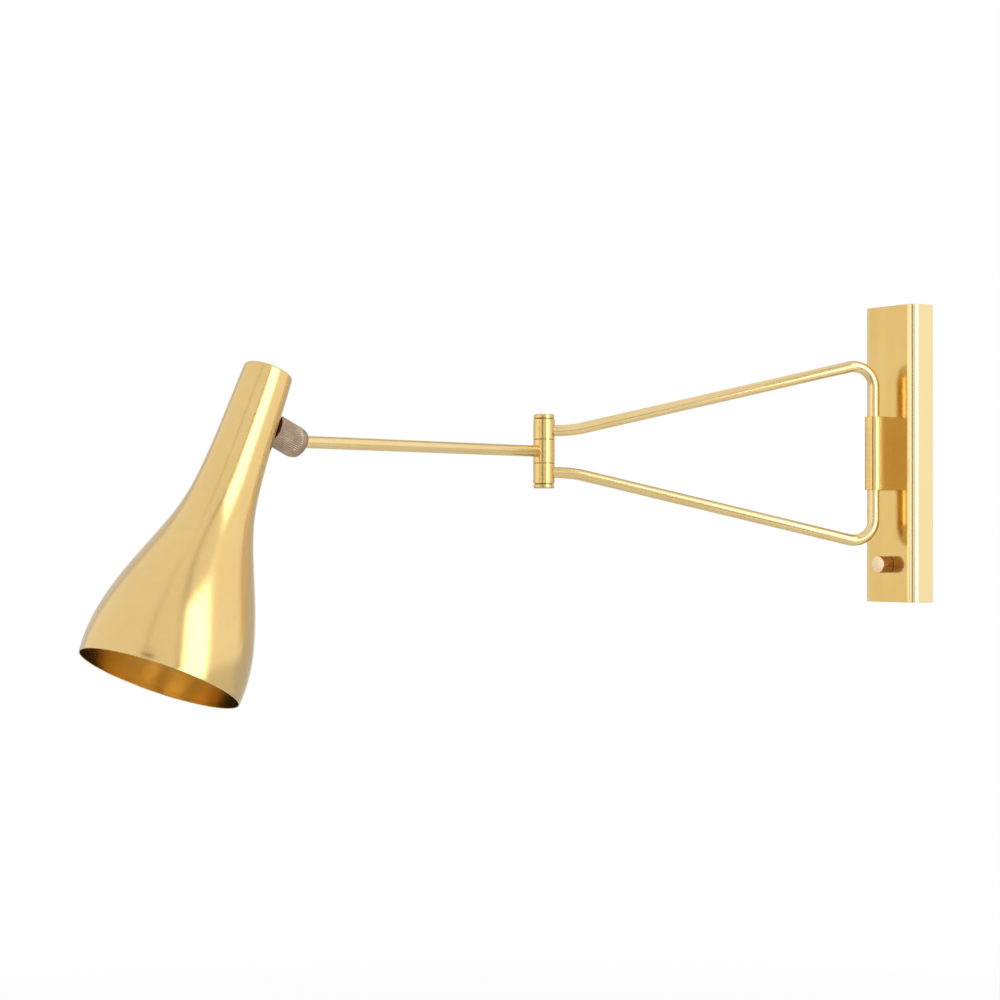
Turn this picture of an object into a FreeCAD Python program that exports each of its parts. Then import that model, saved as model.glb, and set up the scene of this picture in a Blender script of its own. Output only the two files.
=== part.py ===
import FreeCAD, Part
import math
import os
from FreeCAD import Placement, Rotation, Vector

# A swing-arm wall lamp in brass. A tall box-shaped backplate carries a pivot block, in which the
# upright side of a bent-tube frame turns. The frame's two rods meet in an elbow barrel. A single arm
# turns in the middle of that barrel and ends in a ball swivel, which carries a long-necked bell shade.
#
# Millimetres. The wall is the plane Y = 0, the room is on the -Y side and +Z is up. The origin is the
# centre of the backplate's wall face. The pieces stand in the pose of the photograph.

# ---- pose ----------------------------------------------------------------------------------------
SWING_ANGLE = 29.3          # frame, from straight out of the wall towards -X
ELBOW_ANGLE = -37.8         # arm, from straight on along the frame
TILT_ANGLE = 23.4           # shade swivel, up from the line of the arm

# ---- travel of the joints, as far as it shapes a piece -------------------------------------------
SWING_LIMIT = 90.0          # each way from straight out of the wall
ELBOW_LIMIT = 120.0         # each way from straight on
TILT_LIMIT = 30.0           # each way from the line of the arm

# ---- clearances and small common sizes -----------------------------------------------------------
RUN = 0.06                  # radial gap of a shaft that turns in its bore
SLIDE = 0.03                # axial gap of a piece that turns against a face
HOLE_GAP = 0.1              # radial gap round a screw that only passes through
COVER_GAP = 0.3             # cover round the wall bracket
STOP_SLACK = 0.5            # degrees between a joint's limit and its stop
SOFT_EDGE = 0.5             # broken edges of turned pieces
CUT_PAST = 1.0              # how far a cut runs on past a face

# ---- backplate -----------------------------------------------------------------------------------
PLATE_WIDTH = 75.0
PLATE_HEIGHT = 316.0
PLATE_DEPTH = 29.0
PLATE_EDGE_RADIUS = 9.3     # upright front edges
PLATE_END_EDGE = 0.6        # edges round the two ends
COVER_WALL = 1.2
BRACKET_WIDTH = 58.0
BRACKET_THICK = 2.0
TAB_WIDTH = 30.0
TAB_DEPTH = 18.0
WALL_SCREW_SPACING = 88.9   # the usual pitch of a wall box's screws
WALL_SLOT_WIDTH = 5.0
WALL_SLOT_LENGTH = 14.0
CABLE_HOLE_DIA = 22.0
COVER_SCREW_DIA = 4.0
COVER_SCREW_LENGTH = 6.0
COVER_SCREW_FROM_WALL = 11.0
COVER_KEY_FLATS = 2.0
BACKING_WIDTH = 44.0
BACKING_HEIGHT = 96.0
BACKING_THICK = 2.5
GROUND_SCREW_DIA = 4.0
GROUND_HEAD_DIA = 8.0
SCREW_HEAD_HEIGHT = 2.4
GROUND_SCREW_X = 19.0
GROUND_SCREW_Z = -66.0
TERMINAL_SIZE = (26.0, 13.0, 16.0)
TERMINAL_Z = 96.0
LEAD_IN_TERMINAL = 6.4

# ---- pivot block ---------------------------------------------------------------------------------
TUBE_STANDOFF = 21.0        # plate face to the tube's upright axis
TUBE_DIA = 12.0
TUBE_WALL = 1.5
BLOCK_WIDTH = 19.0
BLOCK_HEIGHT = 78.0
BUSH_WALL = 1.0
BUSH_LENGTH = 16.0
CHAMBER_WALL = 1.5
CHAMBER_HEIGHT = 20.0
LEAD_HOLE_DIA = 8.0
PIVOT_SCREW_DIA = 5.0
PIVOT_SCREW_SPACING = 52.0
PIVOT_SCREW_GRIP = 10.0     # length inside the block
PIVOT_HEAD_DIA = 8.5
PIVOT_HEAD_HEIGHT = 5.0
PIVOT_KEY_FLATS = 4.0
STOP_PIN_DIA = 4.0
STOP_PIN_Z = 16.0
STOP_GROOVE_DEPTH = 0.7
WINDOW_HEIGHT = 8.0
WINDOW_HALF_ANGLE = 70.0

# ---- frame ---------------------------------------------------------------------------------------
FRAME_REACH = 353.0         # upright axis to elbow axis
FRAME_HEIGHT = 196.0        # between the rods where they would meet the upright axis
ROD_SPACING = 44.0          # between the rods at the elbow
ROD_STUB = 28.8             # elbow axis to the point where a rod turns off level
CORNER_RADIUS = 22.0
KNEE_RADIUS = 130.0

# ---- elbow barrel --------------------------------------------------------------------------------
BARREL_DIA = 22.5
OUTER_KNUCKLE = 21.0
MIDDLE_KNUCKLE = 24.4
ELBOW_GAP = 0.5             # between two knuckles, filled by a washer
ELBOW_WASHER_DIA = 21.4
CAP_DIA = 21.8
CAP_HEIGHT = 5.2
CAP_GROOVE = 0.5
CAP_ROUNDING = 1.6
CAP_THREAD = 3.4
PIN_DIA = 13.0
PIN_BORE = 9.4
PIN_LEAD_HOLE_DIA = 6.2
PIN_WINDOW_HEIGHT = 6.5
PIN_WINDOW_HALF_ANGLE = 125.0
LUG_HEIGHT = 3.0
LUG_Z = 7.5
LUG_REACH = 1.2
LUG_HALF_ANGLE = 10.0

# ---- arm and ball swivel -------------------------------------------------------------------------
ARM_REACH = 333.0           # elbow axis to ball centre
BALL_DIA = 25.0
STEM_DIA = 9.0
STEM_BORE = 6.0
STEM_IN_TUBE = 20.0
STEM_NUT_DIA = 13.0
STEM_NUT_HEIGHT = 3.0
STEM_NUT_AT = 6.0           # ball centre to the nut's seat
SOCKET_DIA = 30.2
SOCKET_FACE = 28.2          # ball centre to the end against the shade
SOCKET_MOUTH = 7.6          # ball centre to the rim round the arm
MOUTH_GAP = 0.45
SLIT_WIDTH = 0.8
SLIT_ANGLE = 75.0           # from straight up, round the socket's axis
SEAT_START = 5.0
SEAT_END = 14.0
SEAT_BORE = 10.0
SPRING_THICK = 0.8
SPRING_LAND = 2.0           # width of the spring's small end
KEEPER_THICK = 1.0
FLANGE_DIA = 18.0
FLANGE_THICK = 2.5

# ---- shade ---------------------------------------------------------------------------------------
SHADE_WALL = 1.0
SHADE_TOP_EDGE = 2.2        # rounding round the closed top
NECK_BITE = 0.8             # depth that the neck sits in the hollowed end of the socket
ATTACH_DEPTH = 47.6         # top of the neck down to the nipple
# depth below the top and outside diameter, from the neck down to the mouth
NECK_TOP_DIA = 47.2
NECK_DEPTH = 68.0
NECK_DIA = 52.7
THROAT_DEPTH = 105.0
THROAT_DIA = 57.6
WAIST_DEPTH = 142.0
WAIST_DIA = 68.3
FLARE_DEPTH = 179.0
FLARE_DIA = 91.7
BELL_DEPTH = 216.0
BELL_DIA = 119.9
SKIRT_DEPTH = 262.0
SKIRT_DIA = 146.4
MOUTH_DEPTH = 308.5
MOUTH_DIA = 151.6

NIPPLE_DIA = 10.0
NIPPLE_BORE = 7.0
SADDLE_THICK = 2.5
SADDLE_SIZE = 18.0
STRAP_THICK = 1.5
STRAP_WIDTH = 14.0
STRAP_TOP = 9.0
STRAP_FOOT = 9.0            # foot's reach past the shade's axis
STRAP_DROP = 24.0           # nipple axis down to the top of the lampholder
NECK_NUT_FLATS = 14.0
NECK_NUT_HEIGHT = 4.0
NIPPLE_END = 1.0
HOLDER_DIA = 36.0
HOLDER_HEIGHT = 44.0
HOLDER_TOP_THICK = 7.0
HOLDER_MOUTH_DIA = 32.0
HOLDER_SCREW_DIA = 3.0
HOLDER_HEAD_DIA = 6.0
HOLDER_SCREW_SPACING = 14.0
HOLDER_SCREW_GRIP = 5.0
SHELL_DIA = 28.0
SHELL_BORE = 26.8
SHELL_LENGTH = 25.0
CONTACT_DIA = 10.0
CONTACT_THICK = 0.8
CAP_BULB_DIA = 26.0
CAP_BULB_LENGTH = 25.0
BULB_CONTACT_DIA = 9.0
BULB_WALL = 1.0
BULB_NECK_DIA = 27.0
BULB_DIA = 60.0
BULB_LENGTH = 84.0          # cap to tip
BULB_SIDE_ANGLE = 18.0      # where the neck's curve joins the ball, up from level
BULB_FLOW = 30.0            # how strongly the neck's curve keeps its direction at both ends

# ---- dimmer --------------------------------------------------------------------------------------
DIMMER_Z = -118.0
DIMMER_SIZE = (32.0, 17.0, 38.0)
DIMMER_BUSHING_DIA = 7.0
DIMMER_BUSHING_LENGTH = 4.6
DIMMER_NUT_FLATS = 10.0
DIMMER_NUT_HEIGHT = 2.2
DIMMER_WASHER_DIA = 12.0
DIMMER_WASHER_THICK = 0.5
SHAFT_DIA = 6.0
SHAFT_FLAT = 1.5
SHAFT_IN_BODY = 12.0
KNOB_DIA = 17.8
KNOB_LENGTH = 15.2
KNOB_GAP = 0.4
KNOB_SKIRT_DEPTH = 5.2
KNOB_SKIRT_DIA = 13.4
KNOB_FACE_THICK = 2.6

# ---- leads ---------------------------------------------------------------------------------------
LEAD_DIA = 2.4
LEAD_SPACING = 3.2
LEAD_BEND = 8.0
LEAD_FROM_WALL = 13.0
DIMMER_LEAD_X = 12.0
LEAD_SPREAD_DROP = 22.0     # terminal block down to where the dimmer's leads spread

# ---- worked-out places ---------------------------------------------------------------------------
X_AXIS = Vector(1, 0, 0)
Y_AXIS = Vector(0, 1, 0)
Z_AXIS = Vector(0, 0, 1)
DIAGONAL = math.sqrt(0.5)
HEADING = SWING_ANGLE + ELBOW_ANGLE
TUBE_Y = -(PLATE_DEPTH + TUBE_STANDOFF)
TUBE_R = TUBE_DIA / 2
BARREL_R = BARREL_DIA / 2
PIN_R = PIN_DIA / 2
PIN_WALL = (PIN_DIA - PIN_BORE) / 2
BALL_R = BALL_DIA / 2
SOCKET_R = SOCKET_DIA / 2
COVER_INSIDE = -(PLATE_DEPTH - COVER_WALL)
KNUCKLE_START = MIDDLE_KNUCKLE / 2 + ELBOW_GAP
KNUCKLE_END = KNUCKLE_START + OUTER_KNUCKLE
BALL_FLAT = math.sqrt(BALL_R ** 2 - TUBE_R ** 2)


def cylinder(radius, length, base=Vector(0, 0, 0), direction=Z_AXIS):
    return Part.makeCylinder(radius, length, base, direction)


def block(low, high):
    """A box between two corners."""
    size = [high[i] - low[i] for i in range(3)]
    return Part.makeBox(size[0], size[1], size[2], Vector(*low))


def ring(outer, inner, length, base=Vector(0, 0, 0), direction=Z_AXIS):
    return cylinder(outer, length, base, direction).cut(cylinder(inner, length, base, direction))


def sector(outer, inner, low, height, middle, half_angle):
    """Part of a ring about Z, half_angle each way from the direction middle, in degrees."""
    full = Part.makeCylinder(outer, height, Vector(0, 0, low), Z_AXIS, 2 * half_angle)
    full = full.cut(cylinder(inner, height, Vector(0, 0, low)))
    full.rotate(Vector(0, 0, 0), Z_AXIS, middle - half_angle)
    return full


def hexagon(flats, height, base, direction):
    """A hexagonal bar, flats across, from base along direction."""
    radius = flats / math.sqrt(3)
    corners = [Vector(radius * math.cos(math.radians(60 * i)), radius * math.sin(math.radians(60 * i)), 0)
               for i in range(7)]
    bar = Part.Face(Part.makePolygon(corners)).extrude(Vector(0, 0, height))
    bar.Placement = Placement(base, Rotation(Z_AXIS, direction))
    return bar


def edges_at(shape, test):
    return [edge for edge in shape.Edges if test(edge)]


def rounded(shape, radius, test):
    """The shape with a fillet on each edge that the test picks."""
    return shape.makeFillet(radius, edges_at(shape, test))


def level_edge(height):
    """A test for edges that lie all in the plane Z = height."""
    return lambda edge: all(abs(v.Z - height) < 1e-6 for v in edge.Vertexes) and \
        abs(edge.BoundBox.ZMax - height) < 1e-6 and abs(edge.BoundBox.ZMin - height) < 1e-6


def bent_path(points, radii):
    """A wire of straight runs joined by tangent arcs, one radius for each inner point."""
    edges = []
    start = points[0]
    for i in range(1, len(points) - 1):
        back = (points[i - 1] - points[i]).normalize()
        onward = (points[i + 1] - points[i]).normalize()
        half_inside = back.getAngle(onward) / 2
        reach = radii[i - 1] / math.tan(half_inside)
        enter = points[i] + back * reach
        leave = points[i] + onward * reach
        towards_centre = (back + onward).normalize()
        centre = points[i] + towards_centre * (radii[i - 1] / math.sin(half_inside))
        edges.append(Part.LineSegment(start, enter).toShape())
        edges.append(Part.Arc(enter, centre - towards_centre * radii[i - 1], leave).toShape())
        start = leave
    edges.append(Part.LineSegment(start, points[-1]).toShape())
    return Part.Wire(edges)


def rod_along(path, radius):
    """A round solid rod whose centre line is the path."""
    first = path.Edges[0]
    begin = first.valueAt(first.FirstParameter)
    along = first.tangentAt(first.FirstParameter)
    profile = Part.Wire([Part.makeCircle(radius, begin, along)])
    return path.makePipeShell([profile], True, False)


def turned(points_and_edges, axis_point, axis):
    """A full turn of a closed outline."""
    face = Part.Face(Part.Wire(Part.__sortEdges__(points_and_edges)))
    return face.revolve(axis_point, axis, 360)


# ---- where each moving group stands --------------------------------------------------------------
def frame_place():
    """Frame group: origin on the upright axis, +X towards the elbow."""
    return Placement(Vector(0, TUBE_Y, 0), Rotation(Z_AXIS, -90 - SWING_ANGLE))


def elbow_point():
    return frame_place().multVec(Vector(FRAME_REACH, 0, 0))


def arm_place():
    """Arm group: origin on the elbow axis, +X towards the ball."""
    return Placement(elbow_point(), Rotation(Z_AXIS, -90 - HEADING))


def ball_point():
    return arm_place().multVec(Vector(ARM_REACH, 0, 0))


def ball_place():
    """Ball group: origin at the ball's centre, +X on along the arm."""
    return Placement(ball_point(), Rotation(Z_AXIS, -90 - HEADING))


def swivel_place():
    """Socket and shade groups: origin at the ball's centre, +X towards the shade's neck."""
    turn = Rotation(Z_AXIS, -90 - HEADING).multiply(Rotation(Y_AXIS, -TILT_ANGLE))
    return Placement(ball_point(), turn)


# ---- backplate -----------------------------------------------------------------------------------
def plate_body(inset):
    """The backplate's outside, or its inside when inset by the wall."""
    half = PLATE_WIDTH / 2 - inset
    top = PLATE_HEIGHT / 2 - inset
    body = block((-half, -(PLATE_DEPTH - inset), -top), (half, 0, top))
    return rounded(body, PLATE_EDGE_RADIUS - inset,
                   lambda e: e.BoundBox.ZLength > top and e.BoundBox.YMax < -PLATE_DEPTH / 2)


def backplate_cover():
    top = PLATE_HEIGHT / 2
    body = plate_body(0)
    for height in (top, -top):
        body = rounded(body, PLATE_END_EDGE,
                       lambda e: level_edge(height)(e) and e.BoundBox.YMin < -COVER_WALL)
    body = body.cut(plate_body(COVER_WALL))
    body = body.cut(front_holes(PIVOT_SCREW_DIA / 2 + HOLE_GAP, pivot_screw_heights()))
    body = body.cut(front_holes(LEAD_HOLE_DIA / 2, [0]))
    body = body.cut(front_holes(DIMMER_BUSHING_DIA / 2 + HOLE_GAP, [DIMMER_Z]))
    bottom_hole = Vector(0, -COVER_SCREW_FROM_WALL, -top)
    return body.cut(cylinder(COVER_SCREW_DIA / 2 + HOLE_GAP, PLATE_HEIGHT, bottom_hole))


def front_holes(radius, heights):
    """Holes on the plate's middle line, through its front and what lies behind it."""
    depth = COVER_WALL + BACKING_THICK
    return Part.makeCompound([cylinder(radius, depth, Vector(0, -PLATE_DEPTH, z), Y_AXIS) for z in heights])


def pivot_screw_heights():
    return (-PIVOT_SCREW_SPACING / 2, PIVOT_SCREW_SPACING / 2)


def bracket_top():
    return PLATE_HEIGHT / 2 - COVER_WALL - COVER_GAP


def wall_bracket():
    """A flat steel strip against the wall with a tab bent forward at each end."""
    top = bracket_top()
    half = BRACKET_WIDTH / 2
    body = block((-half, -BRACKET_THICK, -top), (half, 0, top))
    for side in (-1, 1):
        low = min(side * top, side * (top - BRACKET_THICK))
        tab = block((-TAB_WIDTH / 2, -TAB_DEPTH, low), (TAB_WIDTH / 2, 0, low + BRACKET_THICK))
        body = body.fuse(tab)
    body = body.cut(cylinder(COVER_SCREW_DIA / 2, 2 * top, Vector(0, -COVER_SCREW_FROM_WALL, -top)))
    body = body.cut(cylinder(CABLE_HOLE_DIA / 2, BRACKET_THICK, Vector(0, -BRACKET_THICK, 0), Y_AXIS))
    for height in (-WALL_SCREW_SPACING / 2, WALL_SCREW_SPACING / 2):
        body = body.cut(wall_slot(height))
    body = body.cut(cylinder(GROUND_SCREW_DIA / 2, BRACKET_THICK, ground_screw_seat(), Y_AXIS))
    return body.removeSplitter()


def wall_slot(height):
    radius = WALL_SLOT_WIDTH / 2
    half = WALL_SLOT_LENGTH / 2 - radius
    slot = block((-radius, -BRACKET_THICK, height - half), (radius, 0, height + half))
    for end in (-half, half):
        slot = slot.fuse(cylinder(radius, BRACKET_THICK, Vector(0, -BRACKET_THICK, height + end), Y_AXIS))
    return slot


def cover_screws():
    """Headless screws in the bracket's tabs, flush with the cover's ends."""
    screws = []
    top = PLATE_HEIGHT / 2
    for side in (-1, 1):
        outer = Vector(0, -COVER_SCREW_FROM_WALL, side * top)
        inward = Vector(0, 0, -side)
        screw = cylinder(COVER_SCREW_DIA / 2, COVER_SCREW_LENGTH, outer, inward)
        screws.append(screw.cut(hexagon(COVER_KEY_FLATS, COVER_SCREW_LENGTH / 2, outer, inward)))
    return Part.makeCompound(screws)


def ground_screw_seat():
    return Vector(GROUND_SCREW_X, -BRACKET_THICK, GROUND_SCREW_Z)


def ground_screw():
    """Slotted pan-head screw in the wall bracket."""
    seat = ground_screw_seat()
    head = cylinder(GROUND_HEAD_DIA / 2, SCREW_HEAD_HEIGHT, seat, -Y_AXIS)
    slot = block((-GROUND_HEAD_DIA, -SCREW_HEAD_HEIGHT, -SLIT_WIDTH / 2),
                 (GROUND_HEAD_DIA, -SCREW_HEAD_HEIGHT / 2, SLIT_WIDTH / 2))
    slot.translate(seat)
    return head.cut(slot).fuse(cylinder(GROUND_SCREW_DIA / 2, BRACKET_THICK, seat, Y_AXIS))


def terminal_block():
    width, depth, height = TERMINAL_SIZE
    low_z = TERMINAL_Z - height / 2
    body = block((-width / 2, -BRACKET_THICK - depth, low_z), (width / 2, -BRACKET_THICK, low_z + height))
    for x in terminal_places():
        body = body.cut(cylinder(LEAD_DIA / 2, LEAD_IN_TERMINAL, Vector(x, -LEAD_FROM_WALL, low_z)))
    return body


def terminal_places():
    """Where leads enter the terminal block, across its width."""
    return (-DIMMER_LEAD_X + LEAD_SPACING, -LEAD_SPACING / 2, LEAD_SPACING / 2, DIMMER_LEAD_X - LEAD_SPACING)


def backing_plate():
    """Steel behind the cover's front, which takes the pull of the arm."""
    half = BACKING_WIDTH / 2
    top = BACKING_HEIGHT / 2
    body = block((-half, COVER_INSIDE, -top), (half, COVER_INSIDE + BACKING_THICK, top))
    body = body.cut(front_holes(PIVOT_SCREW_DIA / 2 + HOLE_GAP, pivot_screw_heights()))
    return body.cut(front_holes(LEAD_HOLE_DIA / 2, [0]))


# ---- pivot block ---------------------------------------------------------------------------------
def pivot_block():
    """Round nose about the tube, flat sides back to the plate."""
    half = BLOCK_HEIGHT / 2
    nose = BLOCK_WIDTH / 2
    body = block((-nose, TUBE_Y, -half), (nose, -PLATE_DEPTH, half))
    body = body.fuse(cylinder(nose, BLOCK_HEIGHT, Vector(0, TUBE_Y, -half))).removeSplitter()
    for height in (-half, half):
        body = rounded(body, SOFT_EDGE,
                       lambda e: level_edge(height)(e) and e.BoundBox.YMin < -PLATE_DEPTH - SOFT_EDGE)
    body = body.cut(cylinder(TUBE_R + BUSH_WALL, BLOCK_HEIGHT, Vector(0, TUBE_Y, -half)))
    body = body.cut(cylinder(nose - CHAMBER_WALL, CHAMBER_HEIGHT, Vector(0, TUBE_Y, -CHAMBER_HEIGHT / 2)))
    body = body.cut(cylinder(LEAD_HOLE_DIA / 2, TUBE_STANDOFF, Vector(0, TUBE_Y, 0), Y_AXIS))
    body = body.cut(cylinder(STOP_PIN_DIA / 2, TUBE_STANDOFF, Vector(0, TUBE_Y, STOP_PIN_Z), Y_AXIS))
    for height in pivot_screw_heights():
        seat = Vector(0, -PLATE_DEPTH, height)
        body = body.cut(cylinder(PIVOT_SCREW_DIA / 2, PIVOT_SCREW_GRIP, seat, -Y_AXIS))
    return body


def pivot_bush(low):
    bush = ring(TUBE_R + BUSH_WALL, TUBE_R + RUN, BUSH_LENGTH, Vector(0, TUBE_Y, low))
    return bush


def pivot_screws():
    """Two cap screws from inside the cover, through the backing plate into the block."""
    screws = []
    seat = COVER_INSIDE + BACKING_THICK
    for height in pivot_screw_heights():
        base = Vector(0, seat, height)
        head = cylinder(PIVOT_HEAD_DIA / 2, PIVOT_HEAD_HEIGHT, base, Y_AXIS)
        head = head.cut(hexagon(PIVOT_KEY_FLATS, PIVOT_HEAD_HEIGHT / 2,
                                base + Y_AXIS * PIVOT_HEAD_HEIGHT, -Y_AXIS))
        shank = cylinder(PIVOT_SCREW_DIA / 2, seat + PLATE_DEPTH + PIVOT_SCREW_GRIP, base, -Y_AXIS)
        screws.append(head.fuse(shank))
    return Part.makeCompound(screws)


def stop_pin():
    """Pressed through the block's back wall, its tip in the groove of the tube."""
    pin = cylinder(STOP_PIN_DIA / 2, TUBE_STANDOFF, Vector(0, -PLATE_DEPTH, STOP_PIN_Z), -Y_AXIS)
    tip = TUBE_R - STOP_GROOVE_DEPTH + RUN
    return pin.cut(cylinder(tip, BLOCK_HEIGHT, Vector(0, TUBE_Y, -BLOCK_HEIGHT / 2)))


# ---- frame ---------------------------------------------------------------------------------------
def frame_path():
    """Centre line of the bent tube, from elbow to upright side and back."""
    rod = ROD_SPACING / 2
    corner = FRAME_HEIGHT / 2
    turn_off = FRAME_REACH - ROD_STUB
    points = [Vector(FRAME_REACH, 0, rod), Vector(turn_off, 0, rod), Vector(0, 0, corner),
              Vector(0, 0, -corner), Vector(turn_off, 0, -rod), Vector(FRAME_REACH, 0, -rod)]
    return bent_path(points, [KNEE_RADIUS, CORNER_RADIUS, CORNER_RADIUS, KNEE_RADIUS])


def frame_tube():
    path = frame_path()
    tube = rod_along(path, TUBE_R).cut(rod_along(path, TUBE_R - TUBE_WALL))
    tube = tube.cut(cylinder(PIN_R, FRAME_HEIGHT, Vector(FRAME_REACH, 0, -FRAME_HEIGHT / 2)))
    window = sector(TUBE_DIA, TUBE_R - TUBE_WALL * 2, -WINDOW_HEIGHT / 2, WINDOW_HEIGHT,
                    180, WINDOW_HALF_ANGLE)
    return tube.cut(window).cut(stop_groove())


def stop_groove():
    """Groove that the stop pin travels in, wide enough for the swing each way."""
    pin_half_angle = math.degrees(math.asin(STOP_PIN_DIA / 2 / (TUBE_R - STOP_GROOVE_DEPTH)))
    height = STOP_PIN_DIA + 2 * RUN
    return sector(TUBE_DIA, TUBE_R - STOP_GROOVE_DEPTH, STOP_PIN_Z - height / 2, height,
                  180, SWING_LIMIT + pin_half_angle + STOP_SLACK)


def outer_knuckle(side):
    """Knuckle brazed to one rod of the frame; side is 1 for the upper one."""
    low = min(side * KNUCKLE_START, side * KNUCKLE_END)
    body = cylinder(BARREL_R, OUTER_KNUCKLE, Vector(FRAME_REACH, 0, low))
    body = rounded(body, SOFT_EDGE / 2, lambda e: level_edge(low)(e) or level_edge(low + OUTER_KNUCKLE)(e))
    body = body.cut(cylinder(PIN_R, OUTER_KNUCKLE, Vector(FRAME_REACH, 0, low)))
    return body.cut(cylinder(TUBE_R, BARREL_DIA, Vector(FRAME_REACH, 0, side * ROD_SPACING / 2), -X_AXIS))


def elbow_pin():
    """Hollow pin that the leads pass through, with windows and a stop lug."""
    end = KNUCKLE_END + CAP_THREAD
    pin = ring(PIN_R, PIN_BORE / 2, 2 * end, Vector(0, 0, -end))
    pin = pin.cut(cylinder(PIN_LEAD_HOLE_DIA / 2, PIN_DIA, Vector(0, 0, ROD_SPACING / 2), -X_AXIS))
    pin = pin.cut(sector(PIN_DIA, PIN_R - 2 * PIN_WALL, -PIN_WINDOW_HEIGHT / 2, PIN_WINDOW_HEIGHT,
                         0, PIN_WINDOW_HALF_ANGLE))
    lug = sector(PIN_R + LUG_REACH, PIN_R - PIN_WALL / 2, LUG_Z - LUG_HEIGHT / 2, LUG_HEIGHT,
                 180, LUG_HALF_ANGLE)
    pin = pin.fuse(lug).removeSplitter()
    pin.translate(Vector(FRAME_REACH, 0, 0))
    return pin


def elbow_cap(side):
    """Turned cap with a fine groove next to the knuckle and a rounded rim."""
    cap = cylinder(CAP_DIA / 2, CAP_HEIGHT - CAP_GROOVE, Vector(0, 0, CAP_GROOVE))
    cap = rounded(cap, CAP_ROUNDING, level_edge(CAP_HEIGHT))
    cap = cap.fuse(cylinder(CAP_DIA / 2 - CAP_GROOVE, CAP_GROOVE))
    cap = cap.cut(cylinder(PIN_R, CAP_THREAD))
    if side < 0:
        cap.rotate(Vector(0, 0, 0), X_AXIS, 180)
    cap.translate(Vector(FRAME_REACH, 0, side * KNUCKLE_END))
    return cap


def elbow_washers():
    thick = ELBOW_GAP - 2 * SLIDE
    washers = []
    for side in (-1, 1):
        low = side * (MIDDLE_KNUCKLE / 2 + ELBOW_GAP / 2) - thick / 2
        washers.append(ring(ELBOW_WASHER_DIA / 2, PIN_R, thick, Vector(FRAME_REACH, 0, low)))
    return Part.makeCompound(washers)


# ---- arm -----------------------------------------------------------------------------------------
def arm_hub():
    half = MIDDLE_KNUCKLE / 2
    body = cylinder(BARREL_R, MIDDLE_KNUCKLE, Vector(0, 0, -half))
    body = rounded(body, SOFT_EDGE / 2, lambda e: level_edge(-half)(e) or level_edge(half)(e))
    body = body.cut(cylinder(PIN_R + RUN, MIDDLE_KNUCKLE, Vector(0, 0, -half)))
    body = body.cut(cylinder(TUBE_R, BARREL_DIA, Vector(0, 0, 0), X_AXIS))
    floor = LUG_Z - LUG_HEIGHT / 2 - RUN
    recess = sector(PIN_R + LUG_REACH + RUN, PIN_R - RUN, floor, half - floor,
                    180, ELBOW_LIMIT + LUG_HALF_ANGLE + STOP_SLACK)
    return body.cut(recess)


def arm_tube():
    """Straight tube from the hub to the flat of the ball."""
    length = ARM_REACH - BALL_FLAT - SLIDE
    tube = ring(TUBE_R, TUBE_R - TUBE_WALL, length, Vector(0, 0, 0), X_AXIS)
    return tube.cut(cylinder(PIN_R + 2 * RUN, TUBE_DIA * 2, Vector(0, 0, -TUBE_DIA)))


def arm_stem():
    """Hollow screwed stem that holds the ball on the end of the arm."""
    start = ARM_REACH - BALL_FLAT - STEM_IN_TUBE
    end = ARM_REACH + STEM_NUT_AT + STEM_NUT_HEIGHT + SLIDE
    return ring(STEM_DIA / 2, STEM_BORE / 2, end - start, Vector(start, 0, 0), X_AXIS)


def stem_nut():
    base = Vector(ARM_REACH + STEM_NUT_AT + SLIDE, 0, 0)
    nut = cylinder(STEM_NUT_DIA / 2, STEM_NUT_HEIGHT, base, X_AXIS)
    nut = nut.cut(cylinder(STEM_DIA / 2, STEM_NUT_HEIGHT, base, X_AXIS))
    slot = block((base.x + STEM_NUT_HEIGHT / 2, -SLIT_WIDTH, -STEM_NUT_DIA),
                 (base.x + STEM_NUT_HEIGHT, SLIT_WIDTH, STEM_NUT_DIA))
    return nut.cut(slot)


# ---- ball swivel ---------------------------------------------------------------------------------
def swivel_ball():
    ball = Part.makeSphere(BALL_R)
    ball = ball.cut(block((-BALL_DIA, -BALL_DIA, -BALL_DIA), (-BALL_FLAT, BALL_DIA, BALL_DIA)))
    ball = ball.cut(cylinder(STEM_DIA / 2 + RUN, BALL_DIA * 2, Vector(-BALL_DIA, 0, 0), X_AXIS))
    return ball.cut(cylinder(STEM_NUT_DIA / 2 + 2 * RUN, BALL_R, Vector(STEM_NUT_AT, 0, 0), X_AXIS))


def swivel_socket():
    """Barrel with a domed end that the ball sits in; the knurl is on its straight part."""
    body = cylinder(SOCKET_R, SOCKET_FACE, Vector(0, 0, 0), X_AXIS)
    dome = Part.makeSphere(SOCKET_R).common(
        block((-SOCKET_MOUTH, -SOCKET_DIA, -SOCKET_DIA), (0, SOCKET_DIA, SOCKET_DIA)))
    body = body.fuse(dome)
    body = body.cut(Part.makeSphere(BALL_R + RUN))
    body = body.cut(cylinder(BALL_R + RUN, SOCKET_FACE, Vector(0, 0, 0), X_AXIS))
    body = body.cut(mouth_cone())
    return body.cut(socket_slit()).cut(shade_solid(0))


def mouth_cone():
    """Room for the arm to lean to the tilt limit in the socket's mouth."""
    lean = math.radians(TILT_LIMIT)

    def opening(depth):
        return depth * math.tan(lean) + TUBE_R / math.cos(lean) + MOUTH_GAP
    near = SOCKET_MOUTH / 2
    far = SOCKET_MOUTH + CUT_PAST
    return Part.makeCone(opening(near), opening(far), far - near, Vector(-near, 0, 0), -X_AXIS)


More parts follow.
